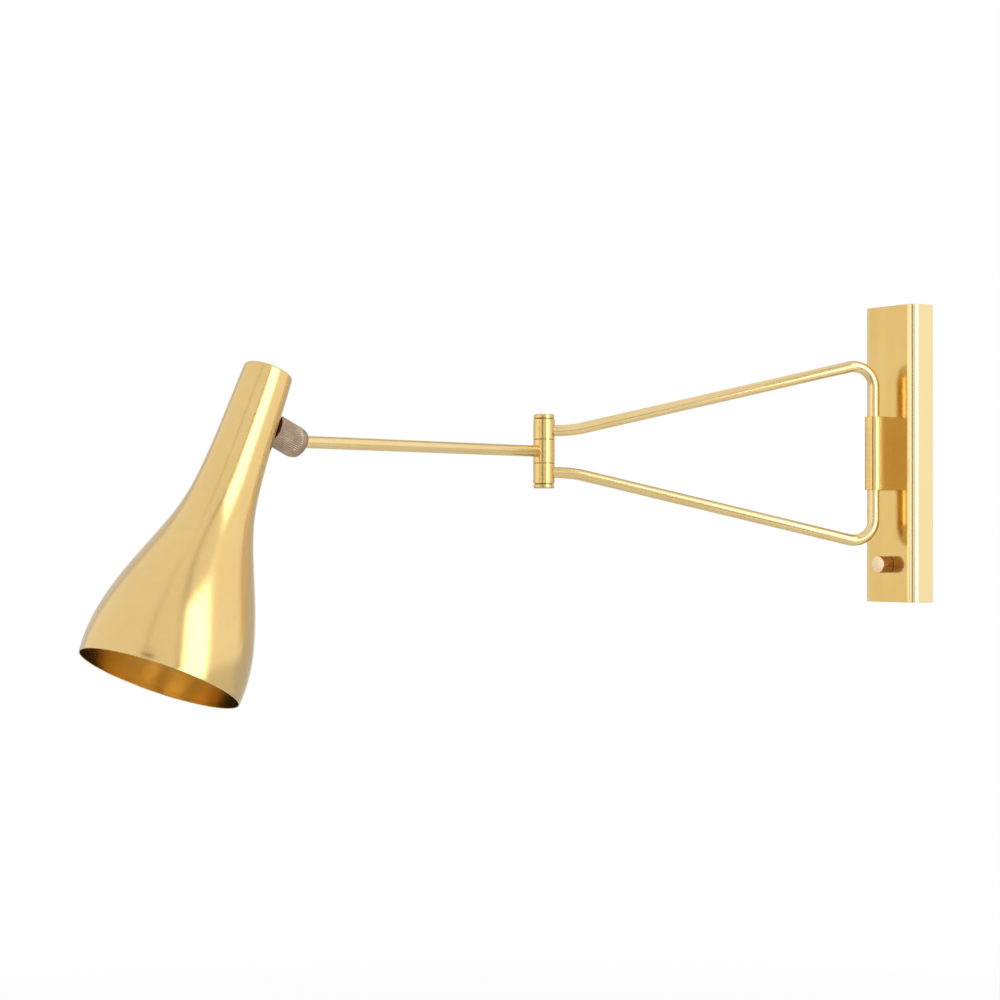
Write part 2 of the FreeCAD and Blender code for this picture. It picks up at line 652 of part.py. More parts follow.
def socket_slit():
    """Saw cut along the barrel that lets it grip."""
    slit = block((SEAT_END, -SLIT_WIDTH / 2, BALL_R - CUT_PAST), (SOCKET_FACE, SLIT_WIDTH / 2, SOCKET_DIA))
    fine = block((0, -SLIT_WIDTH / 2, SOCKET_R - SLIT_WIDTH), (SEAT_END, SLIT_WIDTH / 2, SOCKET_DIA))
    slit = slit.fuse(fine)
    slit.rotate(Vector(0, 0, 0), X_AXIS, SLIT_ANGLE)
    return slit


def friction_seat():
    """Nylon cup that presses on the ball; the socket turns about it."""
    seat = ring(BALL_R, SEAT_BORE / 2, SEAT_END - SEAT_START, Vector(SEAT_START, 0, 0), X_AXIS)
    return seat.cut(Part.makeSphere(BALL_R + RUN))


def seat_spring():
    """Dished spring washer behind the cup."""
    outer = Part.makeCone(BALL_R, SEAT_BORE / 2 + SPRING_LAND, SPRING_THICK, Vector(SEAT_END, 0, 0), X_AXIS)
    return outer.cut(cylinder(SEAT_BORE / 2, SPRING_THICK, Vector(SEAT_END, 0, 0), X_AXIS))


def keeper_start():
    return SEAT_END + SPRING_THICK


def flange_start():
    return keeper_start() + KEEPER_THICK + SLIDE


def retainer_start():
    return flange_start() + FLANGE_THICK


def spring_keeper():
    """Washer between the spring and the nipple's flange."""
    return ring(BALL_R, SEAT_BORE / 2, KEEPER_THICK, Vector(keeper_start(), 0, 0), X_AXIS)


def socket_retainer():
    """Screwed plug that closes the socket and clamps the nipple's flange."""
    start = retainer_start()
    plug = ring(BALL_R + RUN, NIPPLE_DIA / 2, SOCKET_FACE - start, Vector(start, 0, 0), X_AXIS)
    return plug.cut(shade_solid(0))


# ---- shade ---------------------------------------------------------------------------------------
def shade_stations():
    """Depth below the top and outside radius of each station, the first under the rounded top."""
    return [(SHADE_TOP_EDGE, NECK_TOP_DIA / 2), (NECK_DEPTH, NECK_DIA / 2), (THROAT_DEPTH, THROAT_DIA / 2),
            (WAIST_DEPTH, WAIST_DIA / 2), (FLARE_DEPTH, FLARE_DIA / 2), (BELL_DEPTH, BELL_DIA / 2),
            (SKIRT_DEPTH, SKIRT_DIA / 2), (MOUTH_DEPTH, MOUTH_DIA / 2)]


def shade_curve(inset):
    """Smooth curve through the stations, each moved inwards along its normal."""
    stations = shade_stations()
    spline = Part.BSplineCurve()
    spline.interpolate([Vector(radius, 0, -depth) for depth, radius in stations])
    if inset == 0:
        return spline
    moved = []
    for depth, radius in stations:
        parameter = spline.parameter(Vector(radius, 0, -depth))
        along = Vector(*spline.tangent(parameter)[0])
        moved.append(Vector(radius, 0, -depth) + Vector(along.z, 0, -along.x) * inset)
    moved[0] = Vector(stations[0][1] - inset, 0, -SHADE_TOP_EDGE)
    moved[-1] = Vector(moved[-1].x, 0, -MOUTH_DEPTH)
    inner = Part.BSplineCurve()
    inner.interpolate(moved)
    return inner


def shade_solid(inset):
    """The shade's outside as a closed solid, or its inside when inset by the wall."""
    curve = shade_curve(inset)
    start = curve.StartPoint
    end = curve.EndPoint
    top = Vector(0, 0, -inset)
    bottom = Vector(0, 0, -MOUTH_DEPTH)
    edge = SHADE_TOP_EDGE - inset
    rim = Vector(start.x - edge, 0, -inset)
    middle = Vector(start.x - edge * (1 - DIAGONAL), 0, start.z + edge * DIAGONAL)
    outline = [Part.LineSegment(top, rim).toShape(), Part.Arc(rim, middle, start).toShape(), curve.toShape(),
               Part.LineSegment(end, bottom).toShape(), Part.LineSegment(bottom, top).toShape()]
    solid = turned(outline, Vector(0, 0, 0), Z_AXIS)
    solid.translate(Vector(shade_axis_x(), 0, ATTACH_DEPTH))
    return solid


def neck_radius(depth):
    """Outside radius of the neck at a depth below its top."""
    level = Part.Line(Vector(0, 0, -depth), Vector(MOUTH_DIA, 0, -depth))
    return shade_curve(0).intersect(level)[0].X


def shade_axis_x():
    return SOCKET_FACE - NECK_BITE + neck_radius(ATTACH_DEPTH)


def shade_shell():
    shell = shade_solid(0).cut(shade_solid(SHADE_WALL))
    return shell.cut(cylinder(NIPPLE_DIA / 2 + HOLE_GAP, shade_axis_x(), Vector(0, 0, 0), X_AXIS))


def inner_wall_x():
    return shade_axis_x() - neck_radius(ATTACH_DEPTH) + SHADE_WALL


def strap_x():
    return inner_wall_x() + SADDLE_THICK


def shade_nipple():
    """Hollow screwed tube from the socket into the neck, with a flange under the socket's plug."""
    start = flange_start()
    end = strap_x() + STRAP_THICK + NECK_NUT_HEIGHT + NIPPLE_END
    body = cylinder(NIPPLE_DIA / 2, end - start, Vector(start, 0, 0), X_AXIS)
    flange = cylinder(FLANGE_DIA / 2, FLANGE_THICK, Vector(start, 0, 0), X_AXIS)
    return body.fuse(flange).cut(cylinder(NIPPLE_BORE / 2, end - start, Vector(start, 0, 0), X_AXIS))


def inner_saddle():
    """Seats on the round inside of the neck and gives the strap and nut a flat."""
    half = SADDLE_SIZE / 2
    blank = block((0, -half, -half), (strap_x(), half, half))
    saddle = blank.common(shade_solid(SHADE_WALL))
    return saddle.cut(cylinder(NIPPLE_DIA / 2, strap_x(), Vector(0, 0, 0), X_AXIS))


def holder_strap():
    """Bent steel strap that carries the lampholder under the nipple."""
    x = strap_x()
    half = STRAP_WIDTH / 2
    drop = -STRAP_DROP
    upright = block((x, -half, drop), (x + STRAP_THICK, half, STRAP_TOP))
    foot = block((x, -half, drop), (shade_axis_x() + STRAP_FOOT, half, drop + STRAP_THICK))
    strap = upright.fuse(foot)
    strap = strap.cut(cylinder(NIPPLE_DIA / 2, STRAP_THICK, Vector(x, 0, 0), X_AXIS))
    for point in holder_screw_points(drop):
        strap = strap.cut(cylinder(HOLDER_SCREW_DIA / 2 + HOLE_GAP, STRAP_THICK, point))
    return strap.removeSplitter()


def holder_screw_points(height):
    offset = HOLDER_SCREW_SPACING / 2
    return [Vector(shade_axis_x() + side * offset, 0, height) for side in (-1, 1)]


def holder_screws():
    screws = []
    for point in holder_screw_points(-STRAP_DROP + STRAP_THICK):
        head = cylinder(HOLDER_HEAD_DIA / 2, SCREW_HEAD_HEIGHT, point)
        shank = cylinder(HOLDER_SCREW_DIA / 2, STRAP_THICK + HOLDER_SCREW_GRIP, point, -Z_AXIS)
        screws.append(head.fuse(shank))
    return Part.makeCompound(screws)


def neck_nut():
    base = Vector(strap_x() + STRAP_THICK, 0, 0)
    nut = hexagon(NECK_NUT_FLATS, NECK_NUT_HEIGHT, base, X_AXIS)
    return nut.cut(cylinder(NIPPLE_DIA / 2, NECK_NUT_HEIGHT, base, X_AXIS))


def lampholder():
    """Moulded holder, open at its lower end."""
    centre = Vector(shade_axis_x(), 0, -STRAP_DROP)
    body = cylinder(HOLDER_DIA / 2, HOLDER_HEIGHT, centre, -Z_AXIS)
    inside = centre - Z_AXIS * HOLDER_TOP_THICK
    body = body.cut(cylinder(SHELL_DIA / 2, SHELL_LENGTH, inside, -Z_AXIS))
    body = body.cut(cylinder(HOLDER_MOUTH_DIA / 2, HOLDER_HEIGHT, inside - Z_AXIS * SHELL_LENGTH, -Z_AXIS))
    for point in holder_screw_points(-STRAP_DROP):
        body = body.cut(cylinder(HOLDER_SCREW_DIA / 2, HOLDER_SCREW_GRIP, point, -Z_AXIS))
    return body


def screw_shell():
    start = Vector(shade_axis_x(), 0, -STRAP_DROP - HOLDER_TOP_THICK)
    return ring(SHELL_DIA / 2, SHELL_BORE / 2, SHELL_LENGTH, start, -Z_AXIS)


def centre_contact():
    start = Vector(shade_axis_x(), 0, -STRAP_DROP - HOLDER_TOP_THICK)
    return cylinder(CONTACT_DIA / 2, CONTACT_THICK, start, -Z_AXIS)


def bulb_cap_top():
    """Height of the bulb's own contact, which touches the holder's."""
    return -STRAP_DROP - HOLDER_TOP_THICK - CONTACT_THICK


def bulb_cap():
    """Metal screw cap of the bulb with its centre contact."""
    top = Vector(shade_axis_x(), 0, bulb_cap_top())
    shoulder = top - Z_AXIS * CONTACT_THICK * 2
    body = cylinder(CAP_BULB_DIA / 2, CAP_BULB_LENGTH, shoulder, -Z_AXIS)
    inside = shoulder - Z_AXIS * BULB_WALL
    body = body.cut(cylinder(CAP_BULB_DIA / 2 - BULB_WALL, CAP_BULB_LENGTH, inside, -Z_AXIS))
    return body.fuse(cylinder(BULB_CONTACT_DIA / 2, CONTACT_THICK * 2, top, -Z_AXIS))


def bulb_outline(inset):
    """Half outline of the bulb's envelope from its neck to its tip, as edges."""
    neck = BULB_NECK_DIA / 2 - inset
    round_r = BULB_DIA / 2 - inset
    centre = -(BULB_LENGTH - BULB_DIA / 2)
    start = Vector(neck, 0, 0)
    side = math.radians(BULB_SIDE_ANGLE)
    join = Vector(round_r * math.cos(side), 0, centre + round_r * math.sin(side))
    flow = Part.BSplineCurve()
    flow.interpolate(Points=[start, join], InitialTangent=Vector(0, 0, -BULB_FLOW),
                     FinalTangent=Vector(math.sin(side), 0, -math.cos(side)) * BULB_FLOW)
    tip = Vector(0, 0, centre - round_r)
    low = Vector(round_r * DIAGONAL, 0, centre - round_r * DIAGONAL)
    return [Part.LineSegment(Vector(0, 0, 0), start).toShape(), flow.toShape(),
            Part.Arc(join, low, tip).toShape(), Part.LineSegment(tip, Vector(0, 0, 0)).toShape()]


def bulb_envelope():
    """Frosted envelope, open into the cap at its neck."""
    outer = turned(bulb_outline(0), Vector(0, 0, 0), Z_AXIS)
    shell = outer.cut(turned(bulb_outline(BULB_WALL), Vector(0, 0, 0), Z_AXIS))
    start = bulb_cap_top() - CONTACT_THICK * 2 - CAP_BULB_LENGTH
    shell.translate(Vector(shade_axis_x(), 0, start))
    return shell


# ---- dimmer --------------------------------------------------------------------------------------
def dimmer_body():
    """Rotary dimmer behind the plate's front, with its threaded bushing through it."""
    width, depth, height = DIMMER_SIZE
    body = block((-width / 2, COVER_INSIDE, DIMMER_Z - height / 2),
                 (width / 2, COVER_INSIDE + depth, DIMMER_Z + height / 2))
    body = body.fuse(cylinder(DIMMER_BUSHING_DIA / 2, COVER_WALL + DIMMER_BUSHING_LENGTH,
                              Vector(0, COVER_INSIDE, DIMMER_Z), -Y_AXIS))
    reach = COVER_WALL + DIMMER_BUSHING_LENGTH + SHAFT_IN_BODY
    bore = cylinder(SHAFT_DIA / 2 + RUN, reach, Vector(0, COVER_INSIDE + SHAFT_IN_BODY, DIMMER_Z), -Y_AXIS)
    body = body.cut(bore)
    for side in (-1, 1):
        body = body.cut(cylinder(LEAD_DIA / 2, height / 4,
                                 Vector(side * DIMMER_LEAD_X, -LEAD_FROM_WALL, DIMMER_Z + height / 4)))
    return body


def dimmer_washer():
    return ring(DIMMER_WASHER_DIA / 2, DIMMER_BUSHING_DIA / 2, DIMMER_WASHER_THICK,
                Vector(0, -PLATE_DEPTH, DIMMER_Z), -Y_AXIS)


def dimmer_nut():
    base = Vector(0, -PLATE_DEPTH - DIMMER_WASHER_THICK, DIMMER_Z)
    nut = hexagon(DIMMER_NUT_FLATS, DIMMER_NUT_HEIGHT, base, -Y_AXIS)
    return nut.cut(cylinder(DIMMER_BUSHING_DIA / 2, DIMMER_NUT_HEIGHT, base, -Y_AXIS))


def shaft_solid():
    """Dimmer shaft with a flat on the part that the knob takes."""
    tip_y = -PLATE_DEPTH - KNOB_GAP - KNOB_LENGTH + KNOB_FACE_THICK
    start_y = COVER_INSIDE + SHAFT_IN_BODY - SLIDE
    shaft = cylinder(SHAFT_DIA / 2, start_y - tip_y, Vector(0, start_y, DIMMER_Z), -Y_AXIS)
    flat_start = -PLATE_DEPTH - KNOB_GAP - KNOB_SKIRT_DEPTH
    flat_z = DIMMER_Z + SHAFT_DIA / 2 - SHAFT_FLAT
    return shaft.cut(block((-SHAFT_DIA, tip_y, flat_z), (SHAFT_DIA, flat_start, flat_z + SHAFT_DIA)))


def dimmer_knob():
    """Plain turned knob with a hollow skirt over the dimmer's nut."""
    base_y = -PLATE_DEPTH - KNOB_GAP
    knob = cylinder(KNOB_DIA / 2, KNOB_LENGTH)
    knob = rounded(knob, SOFT_EDGE, lambda e: level_edge(KNOB_LENGTH)(e) or level_edge(0)(e))
    knob.Placement = Placement(Vector(0, base_y, DIMMER_Z), Rotation(Z_AXIS, -Y_AXIS))
    knob = knob.cut(cylinder(KNOB_SKIRT_DIA / 2, KNOB_SKIRT_DEPTH, Vector(0, base_y, DIMMER_Z), -Y_AXIS))
    return knob.cut(shaft_solid())


# ---- leads ---------------------------------------------------------------------------------------
def lamp_leads():
    """Two leads from the terminal block through the plate into the pivot block's chamber."""
    start_z = TERMINAL_Z - TERMINAL_SIZE[2] / 2
    end_y = TUBE_Y + BLOCK_WIDTH / 2 - CHAMBER_WALL
    leads = []
    for x in (-LEAD_SPACING / 2, LEAD_SPACING / 2):
        points = [Vector(x, -LEAD_FROM_WALL, start_z), Vector(x, -LEAD_FROM_WALL, 0), Vector(x, end_y, 0)]
        leads.append(rod_along(bent_path(points, [LEAD_BEND]), LEAD_DIA / 2))
    return Part.makeCompound(leads)


def dimmer_leads():
    """Two leads from the terminal block down to the dimmer, bent outwards past the screws."""
    start_z = TERMINAL_Z - TERMINAL_SIZE[2] / 2
    end_z = DIMMER_Z + DIMMER_SIZE[2] / 2
    leads = []
    for side in (-1, 1):
        inner = side * (DIMMER_LEAD_X - LEAD_SPACING)
        outer = side * DIMMER_LEAD_X
        points = [Vector(inner, -LEAD_FROM_WALL, start_z),
                  Vector(inner, -LEAD_FROM_WALL, start_z - LEAD_SPREAD_DROP),
                  Vector(outer, -LEAD_FROM_WALL, start_z - 2 * LEAD_SPREAD_DROP),
                  Vector(outer, -LEAD_FROM_WALL, end_z)]
        leads.append(rod_along(bent_path(points, [LEAD_BEND, LEAD_BEND]), LEAD_DIA / 2))
    return Part.makeCompound(leads)


# ---- assembly ------------------------------------------------------------------------------------
HALF_BLOCK = BLOCK_HEIGHT / 2
WALL_GROUP = {
    "wall_bracket": wall_bracket, "backplate_cover": backplate_cover, "cover_screws": cover_screws,
    "ground_screw": ground_screw, "terminal_block": terminal_block, "backing_plate": backing_plate,
    "pivot_block": pivot_block, "upper_bush": lambda: pivot_bush(HALF_BLOCK - BUSH_LENGTH),
    "lower_bush": lambda: pivot_bush(-HALF_BLOCK), "pivot_screws": pivot_screws, "stop_pin": stop_pin,
    "dimmer_body": dimmer_body, "dimmer_washer": dimmer_washer, "dimmer_nut": dimmer_nut,
    "lamp_leads": lamp_leads, "dimmer_leads": dimmer_leads,
}
KNOB_GROUP = {"dimmer_shaft": shaft_solid, "dimmer_knob": dimmer_knob}
FRAME_GROUP = {
    "frame_tube": frame_tube, "upper_knuckle": lambda: outer_knuckle(1),
    "lower_knuckle": lambda: outer_knuckle(-1), "elbow_pin": elbow_pin,
    "elbow_cap_top": lambda: elbow_cap(1), "elbow_cap_bottom": lambda: elbow_cap(-1),
    "elbow_washers": elbow_washers,
}
ARM_GROUP = {"arm_hub": arm_hub, "arm_tube": arm_tube, "arm_stem": arm_stem, "stem_nut": stem_nut}
BALL_GROUP = {"swivel_ball": swivel_ball}
SEAT_GROUP = {"friction_seat": friction_seat, "seat_spring": seat_spring, "spring_keeper": spring_keeper}
SHADE_GROUP = {
    "swivel_socket": swivel_socket, "socket_retainer": socket_retainer,
    "shade_nipple": shade_nipple, "shade_shell": shade_shell, "inner_saddle": inner_saddle,
    "holder_strap": holder_strap, "holder_screws": holder_screws, "neck_nut": neck_nut,
    "lampholder": lampholder, "screw_shell": screw_shell, "centre_contact": centre_contact,
    "bulb_cap": bulb_cap, "bulb_envelope": bulb_envelope,
}


def write_group(group, place):
    """Builds each piece of a group, moves it to its place and writes its STEP file."""
    for name, build in group.items():
        shape = build()
        shape.Placement = place.multiply(shape.Placement)
        solids = shape.Solids
        kept = solids[0] if len(solids) == 1 else Part.makeCompound(solids)
        if not kept.isValid():
            print("not valid:", name)
        kept.exportStep("parts/" + name + ".step")


def main():
    os.makedirs("parts", exist_ok=True)
    still = Placement()
    write_group(WALL_GROUP, still)
    write_group(KNOB_GROUP, still)
    write_group(FRAME_GROUP, frame_place())
    write_group(ARM_GROUP, arm_place())
    write_group(BALL_GROUP, ball_place())
    write_group(SEAT_GROUP, swivel_place())
    write_group(SHADE_GROUP, swivel_place())
    print("elbow axis", elbow_point(), "ball centre", ball_point(), "shade axis at", shade_axis_x())


main()
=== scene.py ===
import math
import bmesh
import bpy
import numpy as np
from mathutils import Matrix, Vector

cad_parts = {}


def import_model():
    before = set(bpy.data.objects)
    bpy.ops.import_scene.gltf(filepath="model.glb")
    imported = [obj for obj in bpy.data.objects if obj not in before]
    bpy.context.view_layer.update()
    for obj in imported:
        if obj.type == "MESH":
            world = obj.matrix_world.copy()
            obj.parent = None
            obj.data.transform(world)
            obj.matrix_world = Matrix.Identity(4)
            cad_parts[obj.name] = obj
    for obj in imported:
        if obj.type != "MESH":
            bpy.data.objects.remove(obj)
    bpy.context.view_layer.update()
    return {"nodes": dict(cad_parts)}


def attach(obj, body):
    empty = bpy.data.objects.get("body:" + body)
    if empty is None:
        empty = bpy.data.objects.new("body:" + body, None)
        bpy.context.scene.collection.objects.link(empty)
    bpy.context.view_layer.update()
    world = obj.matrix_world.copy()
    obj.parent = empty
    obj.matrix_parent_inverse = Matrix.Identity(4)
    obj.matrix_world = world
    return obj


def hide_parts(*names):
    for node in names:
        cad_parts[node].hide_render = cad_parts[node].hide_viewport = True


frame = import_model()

nodes = frame["nodes"]
MM = 0.001


# ---- node groups ---------------------------------------------------------------------------------
def new_group(name, inputs, outputs):
    """A shader node group with its sockets, and its input and output nodes."""
    group = bpy.data.node_groups.new(name, "ShaderNodeTree")
    for label, kind, value in inputs:
        socket = group.interface.new_socket(label, in_out="INPUT", socket_type=kind)
        if value is not None:
            socket.default_value = value
    for label, kind in outputs:
        group.interface.new_socket(label, in_out="OUTPUT", socket_type=kind)
    return group, group.nodes.new("NodeGroupInput"), group.nodes.new("NodeGroupOutput")


def add(tree, kind, links=(), **values):
    """A node with its properties set, and links as (input name or number, source socket). A value
    called in_X sets the input whose name or number is X."""
    node = tree.nodes.new(kind)
    for key, value in values.items():
        if key.startswith("in_"):
            socket = key[3:]
            node.inputs[int(socket) if socket.isdigit() else socket].default_value = value
        else:
            setattr(node, key, value)
    for target, source in links:
        tree.links.new(source, node.inputs[target])
    return node


FINER = 9.0                     # how much finer the second noise of the tone is
FINE_SHARE = 0.35
TONE_LOW, TONE_HIGH = 0.32, 0.68
LINE_LOW, LINE_HIGH = 0.35, 0.65


def tone_group():
    """Cloudy hand-finish: a soft change of tone and gloss at two scales."""
    group, source, sink = new_group(
        "finish_tone",
        [("Vector", "NodeSocketVector", None), ("Scale", "NodeSocketFloat", 14.0),
         ("Light", "NodeSocketColor", (1, 1, 1, 1)), ("Dark", "NodeSocketColor", (0, 0, 0, 1)),
         ("Smooth", "NodeSocketFloat", 0.2), ("Rough", "NodeSocketFloat", 0.3)],
        [("Color", "NodeSocketColor"), ("Roughness", "NodeSocketFloat")])
    place = source.outputs["Vector"]
    scale = source.outputs["Scale"]
    broad = add(group, "ShaderNodeTexNoise", [("Vector", place), ("Scale", scale)],
                in_Detail=3.0, in_Roughness=0.55)
    finer = add(group, "ShaderNodeMath", [(0, scale)], operation="MULTIPLY", in_1=FINER)
    fine = add(group, "ShaderNodeTexNoise", [("Vector", place), ("Scale", finer.outputs[0])],
               in_Detail=4.0, in_Roughness=0.6)
    both = add(group, "ShaderNodeMix", [(2, broad.outputs["Fac"]), (3, fine.outputs["Fac"])],
               in_0=FINE_SHARE)
    spread = add(group, "ShaderNodeMapRange", [("Value", both.outputs[0])],
                 in_1=TONE_LOW, in_2=TONE_HIGH)
    colour = add(group, "ShaderNodeMix", [(0, spread.outputs[0]), (6, source.outputs["Light"]),
                                          (7, source.outputs["Dark"])], data_type="RGBA")
    gloss = add(group, "ShaderNodeMix", [(0, spread.outputs[0]), (2, source.outputs["Smooth"]),
                                         (3, source.outputs["Rough"])])
    group.links.new(colour.outputs[2], sink.inputs["Color"])
    group.links.new(gloss.outputs[0], sink.inputs["Roughness"])
    return group


def line_group():
    """Fine drawn lines: noise on coordinates that are stretched along the lines."""
    group, source, sink = new_group(
        "drawn_lines",
        [("Vector", "NodeSocketVector", None), ("Stretch", "NodeSocketVector", (1, 1, 1)),
         ("Color", "NodeSocketColor", (1, 1, 1, 1)),
         ("Line Color", "NodeSocketColor", (0, 0, 0, 1)),
         ("Amount", "NodeSocketFloat", 0.3)],
        [("Color", "NodeSocketColor"), ("Height", "NodeSocketFloat")])
    drawn = add(group, "ShaderNodeVectorMath",
                [(0, source.outputs["Vector"]), (1, source.outputs["Stretch"])],
                operation="MULTIPLY")
    lines = add(group, "ShaderNodeTexNoise", [("Vector", drawn.outputs[0])],
                in_Scale=1.0, in_Detail=3.0, in_Roughness=0.7)
    spread = add(group, "ShaderNodeMapRange", [("Value", lines.outputs["Fac"])],
                 in_1=LINE_LOW, in_2=LINE_HIGH)
    share = add(group, "ShaderNodeMath", [(0, spread.outputs[0]), (1, source.outputs["Amount"])],
                operation="MULTIPLY")
    colour = add(group, "ShaderNodeMix", [(0, share.outputs[0]), (6, source.outputs["Color"]),
                                          (7, source.outputs["Line Color"])], data_type="RGBA")
    group.links.new(colour.outputs[2], sink.inputs["Color"])
    group.links.new(spread.outputs[0], sink.inputs["Height"])
    return group


TONE = tone_group()
LINES = line_group()


COAT_ROUGHNESS = 0.08
PLAIN_SCALE = 60.0
# how far the painted side reflection goes towards its pale tone
SIDE_REFLECTION_SHARE = 0.85


def material(name):
    """An empty material: itself, its tree, its Principled shader and its coordinates."""
    made = bpy.data.materials.new(name)
    made.use_nodes = True
    made.node_tree.nodes.clear()
    tree = made.node_tree
    output = add(tree, "ShaderNodeOutputMaterial")
    shader = add(tree, "ShaderNodeBsdfPrincipled")
    tree.links.new(shader.outputs[0], output.inputs["Surface"])
    place = add(tree, "ShaderNodeTexCoord")
    return made, tree, shader, place


def brass(name, light, dark, smooth, rough, scale=14.0, coat=0.3,
          lines=(60, 60, 900), line_tone=0.85, amount=0.25, depth=0.00001, by="Object"):
    """Lacquered brass: cloudy tone and gloss, with fine lines in its colour and its surface."""
    made, tree, shader, place = material(name)
    tone = add(tree, "ShaderNodeGroup", [("Vector", place.outputs["Object"])], node_tree=TONE)
    tone.inputs["Scale"].default_value = scale
    tone.inputs["Light"].default_value = (*light, 1)
    tone.inputs["Dark"].default_value = (*dark, 1)
    tone.inputs["Smooth"].default_value = smooth
    tone.inputs["Rough"].default_value = rough
    drawn = add(tree, "ShaderNodeGroup",
                [("Vector", place.outputs[by]), ("Color", tone.outputs["Color"])], node_tree=LINES)
    drawn.inputs["Stretch"].default_value = lines
    drawn.inputs["Line Color"].default_value = (*(line_tone * c for c in dark), 1)
    drawn.inputs["Amount"].default_value = amount
    relief = add(tree, "ShaderNodeBump", [("Height", drawn.outputs["Height"])], in_Strength=1.0)
    relief.inputs["Distance"].default_value = depth
    tree.links.new(drawn.outputs["Color"], shader.inputs["Base Color"])
    tree.links.new(tone.outputs["Roughness"], shader.inputs["Roughness"])
    tree.links.new(relief.outputs["Normal"], shader.inputs["Normal"])
    shader.inputs["Metallic"].default_value = 1.0
    shader.inputs["Coat Weight"].default_value = coat
    shader.inputs["Coat Roughness"].default_value = COAT_ROUGHNESS
    return made


def plain(name, light, dark, metallic, smooth, rough):
    """The same cloudy finish without a coat, for the pieces that are not brass."""
    made = brass(name, light, dark, smooth, rough, PLAIN_SCALE, coat=0.0)
    made.node_tree.nodes["Principled BSDF"].inputs["Metallic"].default_value = metallic
    return made


def paint_side_reflection(made, start, end, tone):
    """Painted reflection: paler base colour where a piece runs past a distance from its middle
    plane X = 0.
    """
    tree = made.node_tree
    shader = tree.nodes["Principled BSDF"]
    place = add(tree, "ShaderNodeTexCoord")
    parts = add(tree, "ShaderNodeSeparateXYZ", [(0, place.outputs["Object"])])
    off = add(tree, "ShaderNodeMath", [(0, parts.outputs["X"])], operation="ABSOLUTE")
    share = add(tree, "ShaderNodeMapRange", [("Value", off.outputs[0])],
                in_1=start, in_2=end, in_4=SIDE_REFLECTION_SHARE, interpolation_type="SMOOTHSTEP")
    before = shader.inputs["Base Color"].links[0].from_socket
    mixed = add(tree, "ShaderNodeMix", [(0, share.outputs[0]), (6, before)], data_type="RGBA")
    mixed.inputs[7].default_value = (*tone, 1)
    tree.links.new(mixed.outputs[2], shader.inputs["Base Color"])


FINISH = {
    "plate_brass": brass("plate_brass", (0.79, 0.54, 0.185), (0.75, 0.50, 0.155), 0.13, 0.19,
                         lines=(60, 60, 4)),
    "brass": brass("rod_brass", (0.78, 0.56, 0.22), (0.72, 0.49, 0.17), 0.15, 0.22),
    "shade_brass": brass("shade_brass", (0.79, 0.565, 0.24), (0.75, 0.52, 0.20), 0.13, 0.19, 9.0,
                         lines=(3, 2500, 1), by="UV", amount=0.15),
    "knurled_brass": brass("knurled_brass", (0.50, 0.39, 0.29), (0.34, 0.24, 0.16), 0.26, 0.38,
                           90.0, coat=0.0),
    "knob_brass": brass("knob_brass", (0.92, 0.72, 0.46), (0.88, 0.66, 0.40), 0.25, 0.35,
                        60.0, coat=0.0),
    "steel": plain("plated_steel", (0.62, 0.61, 0.58), (0.5, 0.49, 0.47), 1.0, 0.28, 0.4),
    "bronze": plain("bush_bronze", (0.62, 0.38, 0.2), (0.5, 0.29, 0.15), 1.0, 0.35, 0.5),
    "dark_washer": plain("washer_dark", (0.06, 0.045, 0.03), (0.04, 0.03, 0.02), 0.0, 0.5, 0.6),
    "nylon": plain("seat_nylon", (0.72, 0.70, 0.64), (0.66, 0.64, 0.58), 0.0, 0.4, 0.5),
    "moulding": plain("dark_moulding", (0.05, 0.05, 0.05), (0.035, 0.035, 0.035), 0.0, 0.4, 0.55),
    "holder_ceramic": plain("holder_ceramic", (0.78, 0.76, 0.71), (0.72, 0.70, 0.65),
                            0.0, 0.25, 0.4),
    "contact_brass": plain("contact_brass", (0.8, 0.6, 0.3), (0.68, 0.48, 0.22), 1.0, 0.25, 0.4),
    "bulb_metal": plain("cap_metal", (0.7, 0.69, 0.66), (0.6, 0.59, 0.56), 1.0, 0.25, 0.4),
    "bulb_glass": plain("frosted_glass", (0.86, 0.86, 0.84), (0.80, 0.80, 0.78), 0.0, 0.35, 0.5),
    "lead_cover": plain("lead_cover", (0.70, 0.69, 0.66), (0.62, 0.61, 0.58), 0.0, 0.4, 0.55),
}

# painted reflection: the plate's rounded upright edges and sides get a paler brass colour, standing
# in for the bright light they mirror
SIDE_REFLECTION_FROM, SIDE_REFLECTION_TO = 0.0275, 0.0300       # from the plate's middle, in metres
paint_side_reflection(FINISH["plate_brass"], SIDE_REFLECTION_FROM, SIDE_REFLECTION_TO, (0.85, 0.69, 0.38))
INSIDE = brass("shade_inside", (0.91, 0.71, 0.35), (0.85, 0.62, 0.27), 0.13, 0.2, 20.0, coat=0.0,
               lines=(2, 1200, 1), by="UV", amount=0.4, line_tone=0.75)
# painted shade: a very dark brass for the elbow caps' grooves, where shade falls
GROOVE_SHADE = brass("groove_painted_shade", (0.24, 0.16, 0.07), (0.16, 0.10, 0.04), 0.4, 0.55, 60.0, coat=0.0)
# painted shade: a dark copper-brown copy of the knob's brass for its side and skirt; its lines draw
# the side's streaks
KNOB_SIDE_SHADE = brass("knob_side_painted_shade", (0.62, 0.34, 0.14), (0.46, 0.22, 0.08), 0.2, 0.3, 60.0, coat=0.0,
                  lines=(110, 3, 1), by="UV", amount=0.8, line_tone=0.6, depth=0.00005)
